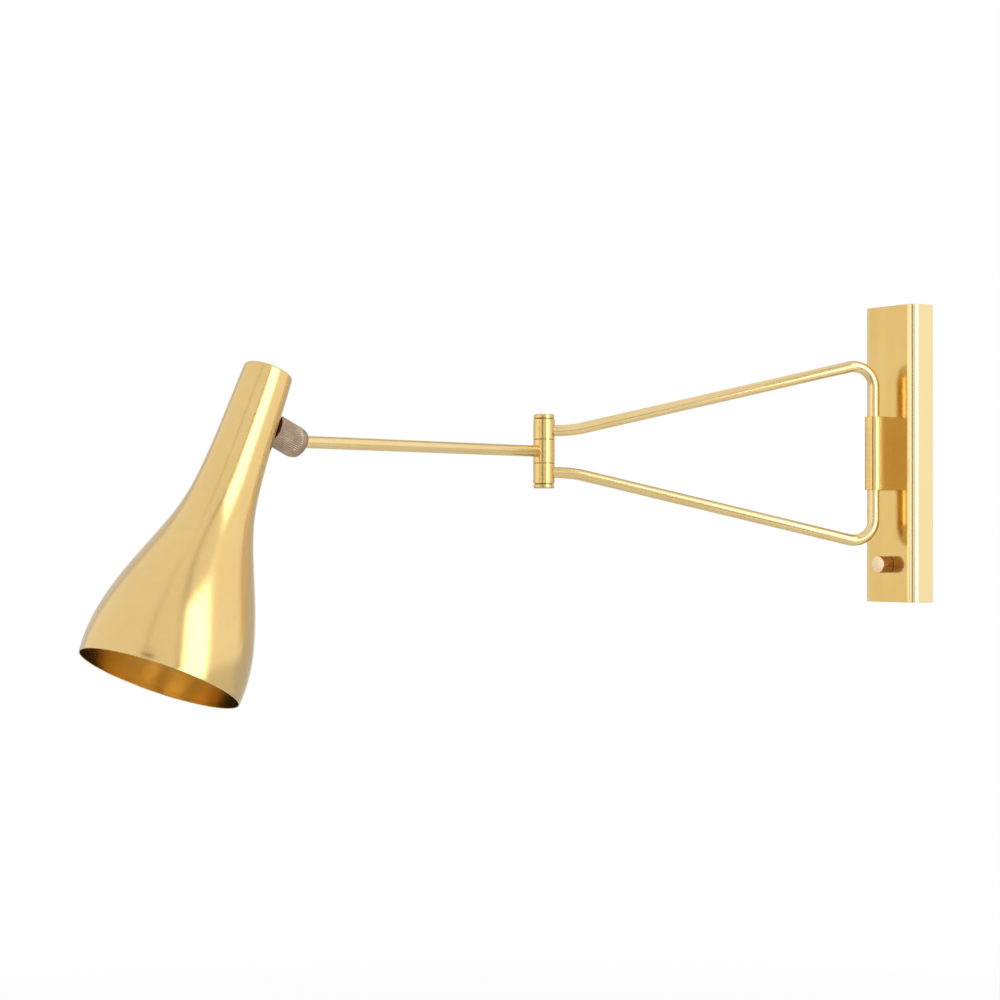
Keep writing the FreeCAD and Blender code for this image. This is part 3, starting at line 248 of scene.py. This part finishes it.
# painted highlight: a paler copy of the brass for the frame and arm tubes, standing in for their
# brighter reflections; its faint lines are the tubes' drawing lines
ROD_PAINTED_LIGHT = brass("tube_brass_painted_light", (0.83, 0.64, 0.32), (0.77, 0.57, 0.25), 0.15, 0.22,
            lines=(24, 9, 1), by="UV", amount=0.06, depth=0.000001)

for piece in nodes.values():
    for held in piece.material_slots:
        key = held.material.name.split(".")[0] if held.material else ""
        held.material = FINISH[key]


# ---- mesh helpers --------------------------------------------------------------------------------
SHARP_ANGLE = 35.0


def unit(vector):
    return vector / np.linalg.norm(vector)


def soft_line(corners, steps=8):
    """Straight runs whose inner corners are rounded; the last number of each corner is its radius.
    Each arc turns evenly from one tangent point to the other about the corner's centre."""
    corners = np.asarray(corners, float)
    line = [corners[:1, :-1]]
    for before, here, after in zip(corners[:-2], corners[1:-1], corners[2:]):
        point, radius = here[:-1], max(here[-1], 1e-6)
        back = unit(before[:-1] - point)
        onward = unit(after[:-1] - point)
        half = math.acos(np.clip(back @ onward, -1.0, 1.0)) / 2
        centre = point + unit(back + onward) * radius / math.sin(half)
        first = point + back * radius / math.tan(half) - centre
        last = point + onward * radius / math.tan(half) - centre
        turn = math.pi - 2 * half
        share = np.linspace(0.0, 1.0, steps + 1)[:, None]
        arc = np.sin((1 - share) * turn) * first + np.sin(share * turn) * last
        line.append(centre + arc / math.sin(turn))
    line.append(corners[-1:, :-1])
    return np.concatenate(line)


def smooth_curve(points, steps):
    """A cubic spline through the points, whose parameter grows by the straight distance from each
    to the next; both ends set off along the cubic through their four nearest points. Gives the
    places at evenly spaced parameters, and the slopes at the points themselves."""
    points = np.asarray(points, float)
    gaps = np.linalg.norm(np.diff(points, axis=0), axis=1)
    at = np.concatenate(([0.0], np.cumsum(gaps)))

    def end_slope(where, what):
        return np.linalg.solve(np.vander(where, increasing=True), what)[1]
    count = len(points)
    system = np.eye(count)
    wanted = np.zeros_like(points)
    wanted[0] = end_slope(at[:4], points[:4])
    wanted[-1] = -end_slope(at[-1] - at[::-1][:4], points[::-1][:4])
    inner = np.arange(1, count - 1)
    before, after = gaps[:-1], gaps[1:]
    system[inner, inner - 1] = after
    system[inner, inner] = 2 * (before + after)
    system[inner, inner + 1] = before
    step = np.diff(points, axis=0)
    wanted[1:-1] = 3 * ((after / before)[:, None] * step[:-1]
                        + (before / after)[:, None] * step[1:])
    slopes = np.linalg.solve(system, wanted)
    spot = np.linspace(0.0, at[-1], steps + 1)
    index = np.clip(np.searchsorted(at, spot, "right") - 1, 0, count - 2)
    gap = gaps[index][:, None]
    share = ((spot - at[index]) / gaps[index])[:, None]
    places = ((1 + 2 * share) * (1 - share) ** 2 * points[index]
              + share * (1 - share) ** 2 * gap * slopes[index]
              + share ** 2 * (3 - 2 * share) * points[index + 1]
              + share ** 2 * (share - 1) * gap * slopes[index + 1])
    return places, slopes


def turned(profile, columns, place, relief=0.0):
    """Rings from a profile of (radius, distance along the axis) rows in millimetres; place is the
    origin in metres, the axis and the direction of the first column. Each point is the origin,
    plus the radius and its relief along its column's direction, plus the distance along the
    axis."""
    origin, axis, across = (np.asarray(part, float) for part in place)
    angle = np.arange(columns) * 2 * np.pi / columns
    outward = np.cos(angle)[:, None] * across + np.sin(angle)[:, None] * np.cross(axis, across)
    radius = profile[:, :1] + relief
    radius = np.broadcast_to(radius, (len(profile), columns))
    return origin + MM * (radius[..., None] * outward + profile[:, 1][:, None, None] * axis)


def swept(path, radius, columns, place):
    """Rings round a path of (x, z) rows in millimetres, in the upright plane through place's origin
    and direction; each ring halves the bend of the path at its point. The ends close in a pole."""
    origin, forward = (np.asarray(part, float) for part in place)
    upward = np.array((0.0, 0.0, 1.0))
    sideways = np.cross(upward, forward)
    runs = np.diff(path, axis=0)
    runs = runs / np.linalg.norm(runs, axis=1)[:, None]
    along = np.concatenate((runs[:1], runs[:-1] + runs[1:], runs[-1:]))
    along = along / np.linalg.norm(along, axis=1)[:, None]
    normal = np.stack((-along[:, 1], along[:, 0]), 1)
    centres = path[:, :1] * forward + path[:, 1:] * upward
    normals = normal[:, :1] * forward + normal[:, 1:] * upward
    angle = np.arange(columns) * 2 * np.pi / columns
    rings = centres[:, None] + radius * (np.cos(angle)[None, :, None] * normals[:, None]
                                         + np.sin(angle)[None, :, None] * sideways)
    ends = [np.broadcast_to(centres[end], (1, columns, 3)) for end in (0, -1)]
    return origin + MM * np.concatenate((ends[0], rings, ends[1]))


def skin(name, rings, body, finishes, replaces, closed=False, second_from=None):
    """A piece whose surface runs through rings (row, column, xyz). The first and last ring are
    poles, or closed joins them to each other. UV is the share of a turn and the length along in
    metres. Rows from second_from on take the second finish."""
    rows, columns, _ = rings.shape
    ids = np.arange(rows * columns).reshape(rows, columns)
    if closed:
        ids = np.concatenate((ids, ids[:1]))
    else:
        ids[0], ids[-1] = ids[0, 0], ids[-1, 0]
    used, ids = np.unique(ids, return_inverse=True)
    ids = ids.reshape(-1, columns)
    low, high = ids[:-1], ids[1:]
    corners = np.stack((low, np.roll(low, -1, 1), np.roll(high, -1, 1), high), -1)
    line = np.concatenate((rings[:, 0], rings[:1, 0])) if closed else rings[:, 0]
    length = np.concatenate(([0.0], np.cumsum(np.linalg.norm(np.diff(line, axis=0), axis=1))))
    turn = np.arange(columns + 1) / columns
    u = np.stack((turn[:-1], turn[1:], turn[1:], turn[:-1]), -1)
    v = np.stack((length[:-1], length[:-1], length[1:], length[1:]), -1)
    uv = np.stack(np.broadcast_arrays(u[None], v[:, None]), -1)
    whole = [0, 1, 2, 3]
    picks = (whole, whole, whole) if closed else ([0, 2, 3], whole, [0, 1, 2])
    faces, spread = [], []
    for part, pick in zip((slice(0, 1), slice(1, -1), slice(-1, None)), picks):
        faces += corners[part][..., pick].reshape(-1, len(pick)).tolist()
        spread.append(uv[part][..., pick, :].reshape(-1, 2))
    mesh = bpy.data.meshes.new(name)
    mesh.from_pydata(rings.reshape(-1, 3)[used].tolist(), [], faces)
    layer = mesh.uv_layers.new(name="length")
    layer.data.foreach_set("uv", np.concatenate(spread).ravel())
    for finish in finishes:
        mesh.materials.append(finish)
    if second_from is not None:
        row = np.repeat(np.arange(len(corners)), columns)
        mesh.polygons.foreach_set("material_index", (row >= second_from).astype(np.int32))
    work = bmesh.new()
    work.from_mesh(mesh)
    bmesh.ops.recalc_face_normals(work, faces=work.faces)
    work.to_mesh(mesh)
    work.free()
    mesh.shade_smooth()
    mesh.set_sharp_from_angle(angle=math.radians(SHARP_ANGLE))
    piece = bpy.data.objects.new(name, mesh)
    bpy.context.scene.collection.objects.link(piece)
    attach(piece, body)
    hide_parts(*replaces)


# ---- where the moving groups stand at rest -------------------------------------------------------
FRAME_REACH = 353.0
ARM_REACH = 333.0
FRAME_TURN = 29.3               # degrees from straight out of the wall
ARM_TURN = -37.8                # degrees from the frame's direction
SHADE_TILT = 23.4


def heading(degrees):
    """The level direction that is turned by so many degrees from straight out of the wall."""
    return np.array((-math.sin(math.radians(degrees)), -math.cos(math.radians(degrees)), 0.0))


UPRIGHT = np.array((0.0, -0.050, 0.0))
FRAME_AHEAD = heading(FRAME_TURN)
ELBOW = UPRIGHT + MM * FRAME_REACH * FRAME_AHEAD
ARM_AHEAD = heading(FRAME_TURN + ARM_TURN)
BALL = ELBOW + MM * ARM_REACH * ARM_AHEAD
TILT = math.radians(SHADE_TILT)
UP = np.array((0.0, 0.0, 1.0))
SWIVEL_AXIS = math.cos(TILT) * ARM_AHEAD + math.sin(TILT) * UP
SHADE_UP = -math.sin(TILT) * ARM_AHEAD + math.cos(TILT) * UP


# ---- shade ---------------------------------------------------------------------------------------
STATIONS = np.array(((23.6, -2.2), (26.35, -68.0), (28.8, -105.0), (34.15, -142.0), (45.85, -179.0),
                     (59.95, -216.0), (73.2, -262.0), (75.8, -308.5)))
SHADE_WALL = 1.0
TOP_ROUNDING = 2.2
TOP_AHEAD, TOP_ABOVE = 52.962, 47.6     # from the ball to the middle of the shade's top
SHADE_TOP = BALL + MM * (TOP_AHEAD * SWIVEL_AXIS + TOP_ABOVE * SHADE_UP)
RIM = ((75.75, -307.6, 0), (75.8, -308.5, 0.35), (74.8, -308.5, 0.35), (74.75, -307.6, 0))
RIM_STEPS = 5
CURVE_END = -307.3
OUTSIDE_STEPS, INSIDE_STEPS, BELL_COLUMNS = 96, 72, 224
CORNER_GAP = 0.01


def bell():
    """Spun bell as one closed skin: outside from the top's middle to the rim, and inside back up.
    The inside is the same curve moved in by the wall, along its normals."""
    outside, slopes = smooth_curve(STATIONS, OUTSIDE_STEPS)
    flat = slopes / np.linalg.norm(slopes, axis=1)[:, None]
    moved = STATIONS + SHADE_WALL * np.stack((flat[:, 1], -flat[:, 0]), 1)
    moved[0] = (STATIONS[0, 0] - SHADE_WALL, STATIONS[0, 1])
    moved[-1, 1] = STATIONS[-1, 1]
    inside = smooth_curve(moved, INSIDE_STEPS)[0]
    edge = STATIONS[0, 0]
    inner_edge = edge - SHADE_WALL
    turn_end = -TOP_ROUNDING - CORNER_GAP
    crown = soft_line(((0, 0, 0), (edge, 0, TOP_ROUNDING), (edge, turn_end, 0)))[:-1]
    roof = soft_line(((0, -SHADE_WALL, 0), (inner_edge, -SHADE_WALL, TOP_ROUNDING - SHADE_WALL),
                      (inner_edge, turn_end, 0)))[:-1]
    rim = soft_line(RIM, RIM_STEPS)
    down = outside[outside[:, 1] > CURVE_END][1:]
    back = inside[inside[:, 1] > CURVE_END][1:]
    profile = np.concatenate((crown, down, rim, back[::-1], roof[::-1]))
    rings = turned(profile, BELL_COLUMNS, (SHADE_TOP, SHADE_UP, SWIVEL_AXIS))
    skin("shade_bell", rings, "shade", (FINISH["shade_brass"], INSIDE),
         ["shade_shell"], second_from=len(crown) + len(down) + len(rim) - RIM_STEPS)


# ---- swivel barrel -------------------------------------------------------------------------------
TEETH = 48
TOOTH_DEPTH = 0.55
TOOTH_COLUMNS = 14
BARREL_RADIUS, BARREL_FACE, BARREL_MOUTH, BARREL_BORE = 15.1, 28.2, 7.6, 12.56
DOME_OVERRUN = 1.5              # degrees that the dome leaves to the lip of the mouth
KNURL_MARGIN = 1.2
BAND_SINK = 0.04                # how far the plain bands stand below the full radius
CUT_ANGLE, CUT_DEPTH, CUT_HALF, CUT_SLOPE = 75.0, 1.9, 0.62, 0.15
HOLLOW_REACH = 3.8              # how far the ball's hollow goes behind the ball's centre
HOLLOW_STEP = 6.0               # from the ball's centre to where the plain bore starts
OUTER_FROM, BAND_FROM = -0.1, 0.5       # rows ahead of these count as outer, and as plain bands
BARREL_RIM = ((10.6, -5.7), (11.8, -7.5))


def swivel_barrel():
    """Barrel with a domed, open end and straight knurling; a saw cut runs along it. The profile is
    turned about the swivel's axis. The knurl lowers the radius by half the tooth's depth times one
    minus the cosine of the tooth count times the angle, and the cut lowers it further near its
    own angle."""
    radius, face, bore = BARREL_RADIUS, BARREL_FACE, BARREL_BORE
    opening = math.degrees(math.asin(BARREL_MOUTH / radius))
    bend = np.radians(np.linspace(90 + opening - DOME_OVERRUN, 90, 9))
    dome = np.stack((radius * np.sin(bend), radius * np.cos(bend)), 1)
    straight = np.array(((radius, 0.9), (radius, 1.5), (radius, face - 1.6), (radius, face - 1.0),
                         (radius, face - 0.3), (radius - 0.3, face)))
    hollow = np.radians(np.linspace(90, 90 + math.degrees(math.asin(HOLLOW_REACH / bore)), 6))
    inner = np.stack((bore * np.sin(hollow), bore * np.cos(hollow)), 1)
    throat = np.array(((bore, face), ))
    profile = np.concatenate((dome, straight, throat, inner[:1] + (0, HOLLOW_STEP), inner,
                              BARREL_RIM))
    columns = TEETH * TOOTH_COLUMNS
    angle = np.arange(columns) * 2 * np.pi / columns
    along = profile[:, 1]
    outer = (np.arange(len(profile)) < len(dome) + len(straight)) & (along > OUTER_FROM)
    knurled = outer & (along > KNURL_MARGIN) & (along < face - KNURL_MARGIN)
    teeth = -TOOTH_DEPTH * (0.5 - 0.5 * np.cos(TEETH * angle))
    # the first column points along SHADE_UP, and the columns turn about SWIVEL_AXIS
    cut_at = math.radians(CUT_ANGLE)
    away = np.abs((angle - cut_at + np.pi) % (2 * np.pi) - np.pi) * radius
    cut = -CUT_DEPTH * np.clip((CUT_HALF - away) / CUT_SLOPE, 0.0, 1.0)
    relief = np.where(knurled[:, None], np.minimum(teeth, cut), 0.0)
    bands = outer & (along > BAND_FROM) & ~knurled
    relief = np.where(bands[:, None], np.minimum(-BAND_SINK, cut), relief)
    rings = turned(profile, columns, (BALL, SWIVEL_AXIS, SHADE_UP), relief)
    skin("swivel_barrel", rings, "shade", (FINISH["knurled_brass"],),
         ["swivel_socket"], closed=True)


# ---- tubes ---------------------------------------------------------------------------------------
TUBE_RADIUS = 6.0
TUBE_COLUMNS = 48
ROD_END, ROD_HEIGHT = 346.0, 22.0       # inside the knuckles
KNEE_AT, KNEE_RADIUS = 324.2, 130.0
FRAME_HALF, CORNER_RADIUS = 98.0, 22.0
BEND_STEPS = 20
ARM_START, BALL_FLAT, ARM_GAP = 9.0, 10.966, 0.03


def frame_rod():
    """The bent tube of the frame, from inside one knuckle round the upright to inside the other."""
    path = soft_line(((ROD_END, ROD_HEIGHT, 0), (KNEE_AT, ROD_HEIGHT, KNEE_RADIUS),
                      (0, FRAME_HALF, CORNER_RADIUS), (0, -FRAME_HALF, CORNER_RADIUS),
                      (KNEE_AT, -ROD_HEIGHT, KNEE_RADIUS), (ROD_END, -ROD_HEIGHT, 0)), BEND_STEPS)
    rings = swept(path, TUBE_RADIUS, TUBE_COLUMNS, (UPRIGHT, FRAME_AHEAD))
    skin("frame_rod", rings, "frame", (ROD_PAINTED_LIGHT,), ["frame_tube"])


def arm_rod():
    """The arm's straight tube, from inside the hub to the flat of the ball."""
    end = ARM_REACH - BALL_FLAT - ARM_GAP
    profile = soft_line(((0, ARM_START, 0), (TUBE_RADIUS, ARM_START, 0.2),
                         (TUBE_RADIUS, end, 0.3), (0, end, 0)), 4)
    rings = turned(profile, TUBE_COLUMNS, (ELBOW, ARM_AHEAD, UP))
    skin("arm_rod", rings, "arm", (ROD_PAINTED_LIGHT,), ["arm_tube"])


# ---- knob and elbow caps -------------------------------------------------------------------------
KNOB_LENGTH, KNOB_RADIUS, KNOB_EDGE = 15.2, 8.9, 0.5
SKIRT_RADIUS, SKIRT_DEPTH = 6.7, 5.2
KNOB_BASE = (0, -0.0294, -0.118)
KNOB_STEPS, KNOB_COLUMNS, SKIRT_EDGE = 5, 96, 0.2
CAP_HEIGHT, CAP_RADIUS, CAP_ROUNDING = 5.2, 10.9, 1.6
GROOVE_HEIGHT, GROOVE_RADIUS, GROOVE_LIP = 1.0, 9.4, 0.12
CAP_STEPS, CAP_COLUMNS = 6, 80
MIDDLE_KNUCKLE, KNUCKLE_GAP, OUTER_KNUCKLE = 24.4, 0.5, 21.0


def knob():
    """Knob: face, softly rounded edge, side and hollow skirt, as one profile turned about Y."""
    profile = soft_line(((0, KNOB_LENGTH, 0), (KNOB_RADIUS, KNOB_LENGTH, KNOB_EDGE),
                         (KNOB_RADIUS, 0, KNOB_EDGE), (SKIRT_RADIUS, 0, SKIRT_EDGE),
                         (SKIRT_RADIUS, SKIRT_DEPTH, 0), (0, SKIRT_DEPTH, 0)), KNOB_STEPS)
    rings = turned(profile, KNOB_COLUMNS, (KNOB_BASE, (0, -1, 0), (0, 0, 1)))
    # the side and skirt take the dark copper-brown brass that paints shade on them
    skin("knob", rings, "dimmer_knob_body", (FINISH["knob_brass"], KNOB_SIDE_SHADE),
         ["dimmer_knob"], second_from=KNOB_STEPS + 1)


def elbow_cap(name, side):
    """Cap with a rounded rim and a narrow groove next to the knuckle, as one profile turned about
    the elbow's axis."""
    cap = soft_line(((0, CAP_HEIGHT, 0), (CAP_RADIUS, CAP_HEIGHT, CAP_ROUNDING),
                     (CAP_RADIUS, GROOVE_HEIGHT, GROOVE_LIP),
                     (GROOVE_RADIUS, GROOVE_HEIGHT, 0)), CAP_STEPS)
    profile = np.concatenate((cap, ((GROOVE_RADIUS, 0.0), (0.0, 0.0))))
    base = ELBOW + MM * side * (MIDDLE_KNUCKLE / 2 + KNUCKLE_GAP + OUTER_KNUCKLE) * UP
    rings = turned(profile, CAP_COLUMNS, (base, side * UP, FRAME_AHEAD))
    # the groove's rows take a very dark brass that paints the shade in the groove
    skin(name, rings, "frame", (FINISH["brass"], GROOVE_SHADE), ["elbow_" + name],
         second_from=len(cap) - 2)


bell()
swivel_barrel()
knob()
elbow_cap("cap_top", 1)
elbow_cap("cap_bottom", -1)
frame_rod()
arm_rod()


# ---- floor, light and camera ---------------------------------------------------------------------
MIDDLE = Vector((-0.07, -0.42, -0.02))
FLOOR_SIZE, FLOOR_Z = 14.0, -1.35
FADE_START, FADE_END = -2.5, 5.5        # metres from under the lamp
FILL = 0.8


def floor():
    """Plain pale ground under the lamp, which fades to white for the camera further off."""
    size = FLOOR_SIZE
    mesh = bpy.data.meshes.new("floor")
    mesh.from_pydata([(-size, -size, 0), (size, -size, 0), (size, size, 0), (-size, size, 0)],
                     [], [(0, 1, 2, 3)])
    ground = bpy.data.objects.new("floor", mesh)
    ground.location.z = FLOOR_Z
    bpy.context.scene.collection.objects.link(ground)
    made, tree, shader, place = material("floor_pale")
    shader.inputs["Base Color"].default_value = (0.86, 0.86, 0.86, 1)
    shader.inputs["Roughness"].default_value = 0.8
    shader.inputs["Specular IOR Level"].default_value = 0.0
    far = add(tree, "ShaderNodeVectorMath", [(0, place.outputs["Object"])],
              operation="DISTANCE")
    far.inputs[1].default_value = (MIDDLE.x, MIDDLE.y, 0)
    fade = add(tree, "ShaderNodeMapRange", [("Value", far.outputs["Value"])],
               in_1=FADE_START, in_2=FADE_END, interpolation_type="SMOOTHSTEP")
    rays = add(tree, "ShaderNodeLightPath")
    share = add(tree, "ShaderNodeMath", [(0, fade.outputs[0]), (1, rays.outputs["Is Camera Ray"])],
                operation="MULTIPLY")
    white = add(tree, "ShaderNodeEmission", in_Color=(1, 1, 1, 1), in_Strength=1.0)
    mixed = add(tree, "ShaderNodeMixShader", [(0, share.outputs[0]), (1, shader.outputs[0]),
                                              (2, white.outputs[0])])
    tree.links.new(mixed.outputs[0], tree.nodes["Material Output"].inputs["Surface"])
    mesh.materials.append(made)


def world():
    """White for the camera and for what metal and glass mirror; soft fill for all other light."""
    sky = bpy.data.worlds.new("studio")
    bpy.context.scene.world = sky
    sky.use_nodes = True
    tree = sky.node_tree
    tree.nodes.clear()
    rays = add(tree, "ShaderNodeLightPath")
    mirrored = add(tree, "ShaderNodeMath", [(0, rays.outputs["Is Glossy Ray"]),
                                            (1, rays.outputs["Is Transmission Ray"])],
                   operation="MAXIMUM")
    white = add(tree, "ShaderNodeMath",
                [(0, mirrored.outputs[0]), (1, rays.outputs["Is Camera Ray"])],
                operation="MAXIMUM")
    seen = add(tree, "ShaderNodeBackground", in_Color=(1, 1, 1, 1), in_Strength=1.0)
    fill = add(tree, "ShaderNodeBackground", in_Color=(1, 0.99, 0.97, 1), in_Strength=FILL)
    pick = add(tree, "ShaderNodeMixShader",
               [(0, white.outputs[0]), (1, fill.outputs[0]), (2, seen.outputs[0])])
    add(tree, "ShaderNodeOutputWorld", [("Surface", pick.outputs[0])])


CAMERA_AT = Vector((1.745026, -1.758052, -0.091889))
CAMERA_RIGHT = Vector((0.57399377, 0.81885616, 0.00239422))
CAMERA_UP = Vector((0.00915861, -0.00934353, 0.99991441))
CAMERA_FORWARD = Vector((-0.81880844, 0.57392271, 0.01286271))
FOCAL_PIXELS = 2268.09
PICTURE = 1000.0
CENTRE_DOWN = 9.86


def camera():
    """The photo's camera, as solved from its points."""
    data = bpy.data.cameras.new("camera")
    data.sensor_width = 36.0
    data.lens = FOCAL_PIXELS * data.sensor_width / PICTURE
    data.shift_y = CENTRE_DOWN / PICTURE
    data.clip_start = 0.1
    data.clip_end = 50.0
    view = bpy.data.objects.new("camera", data)
    turn = Matrix((CAMERA_RIGHT, CAMERA_UP, -CAMERA_FORWARD)).transposed().to_4x4()
    view.matrix_world = Matrix.Translation(CAMERA_AT) @ turn
    bpy.context.scene.collection.objects.link(view)
    bpy.context.scene.camera = view


TO_CAMERA = math.degrees(math.atan2(-CAMERA_FORWARD.y, -CAMERA_FORWARD.x))


def softbox(name, start, end, low, high, radiance, distance=3.0):
    """An upright area light facing the lamp; start and end are angles round from the camera, to its
    right, and radiance is how bright its face looks next to the white background."""
    data = bpy.data.lights.new(name, "AREA")
    data.shape = "RECTANGLE"
    data.size = 2 * distance * math.tan(math.radians((end - start) / 2))
    data.size_y = high - low
    data.energy = radiance * math.pi * data.size * data.size_y
    lamp = bpy.data.objects.new(name, data)
    angle = math.radians(TO_CAMERA + (start + end) / 2)
    centre = Vector((MIDDLE.x, MIDDLE.y, (low + high) / 2))
    lamp.location = centre + Vector((math.cos(angle) * distance, math.sin(angle) * distance, 0))
    lamp.rotation_mode = "QUATERNION"
    lamp.rotation_quaternion = (centre - lamp.location).to_track_quat("-Z", "Y")
    lamp.visible_camera = False
    bpy.context.scene.collection.objects.link(lamp)


def flag(name, start, end, tone, low=-1.3, high=9.0, distance=3.1):
    """An upright grey board, hidden from the camera, that gives the brass a darker line to
    mirror; start and end are angles as for a softbox."""
    corners = []
    for side in (start, end):
        angle = math.radians(TO_CAMERA + side)
        x, y = MIDDLE.x + math.cos(angle) * distance, MIDDLE.y + math.sin(angle) * distance
        corners += [(x, y, low), (x, y, high)]
    mesh = bpy.data.meshes.new(name)
    mesh.from_pydata(corners, [], [(0, 1, 3, 2)])
    board = bpy.data.objects.new(name, mesh)
    bpy.context.scene.collection.objects.link(board)
    made, _, shader, _ = material(name)
    shader.inputs["Base Color"].default_value = (tone, tone, tone, 1)
    shader.inputs["Roughness"].default_value = 0.9
    mesh.materials.append(made)
    board.visible_camera = False
    board.visible_shadow = False


floor()
world()
camera()
softbox("left_strip", -100, -26, low=-0.45, high=0.55, radiance=0.3, distance=2.95)
softbox("key_box", 26, 60, low=-1.0, high=3.2, radiance=2.2)
softbox("far_right_box", 62, 112, low=-1.2, high=4.4, radiance=0.12)
flag("left_flag", -27, -11, tone=0.30, high=0.9)
flag("upper_flag", -24, -21, tone=0.66, low=0.9)
flag("right_flag", 19, 25, tone=0.38)
flag("back_left_flag", -170, -125, tone=0.8)
flag("back_right_flag", 125, 170, tone=0.7)

bpy.context.scene.view_settings.view_transform = "Standard"
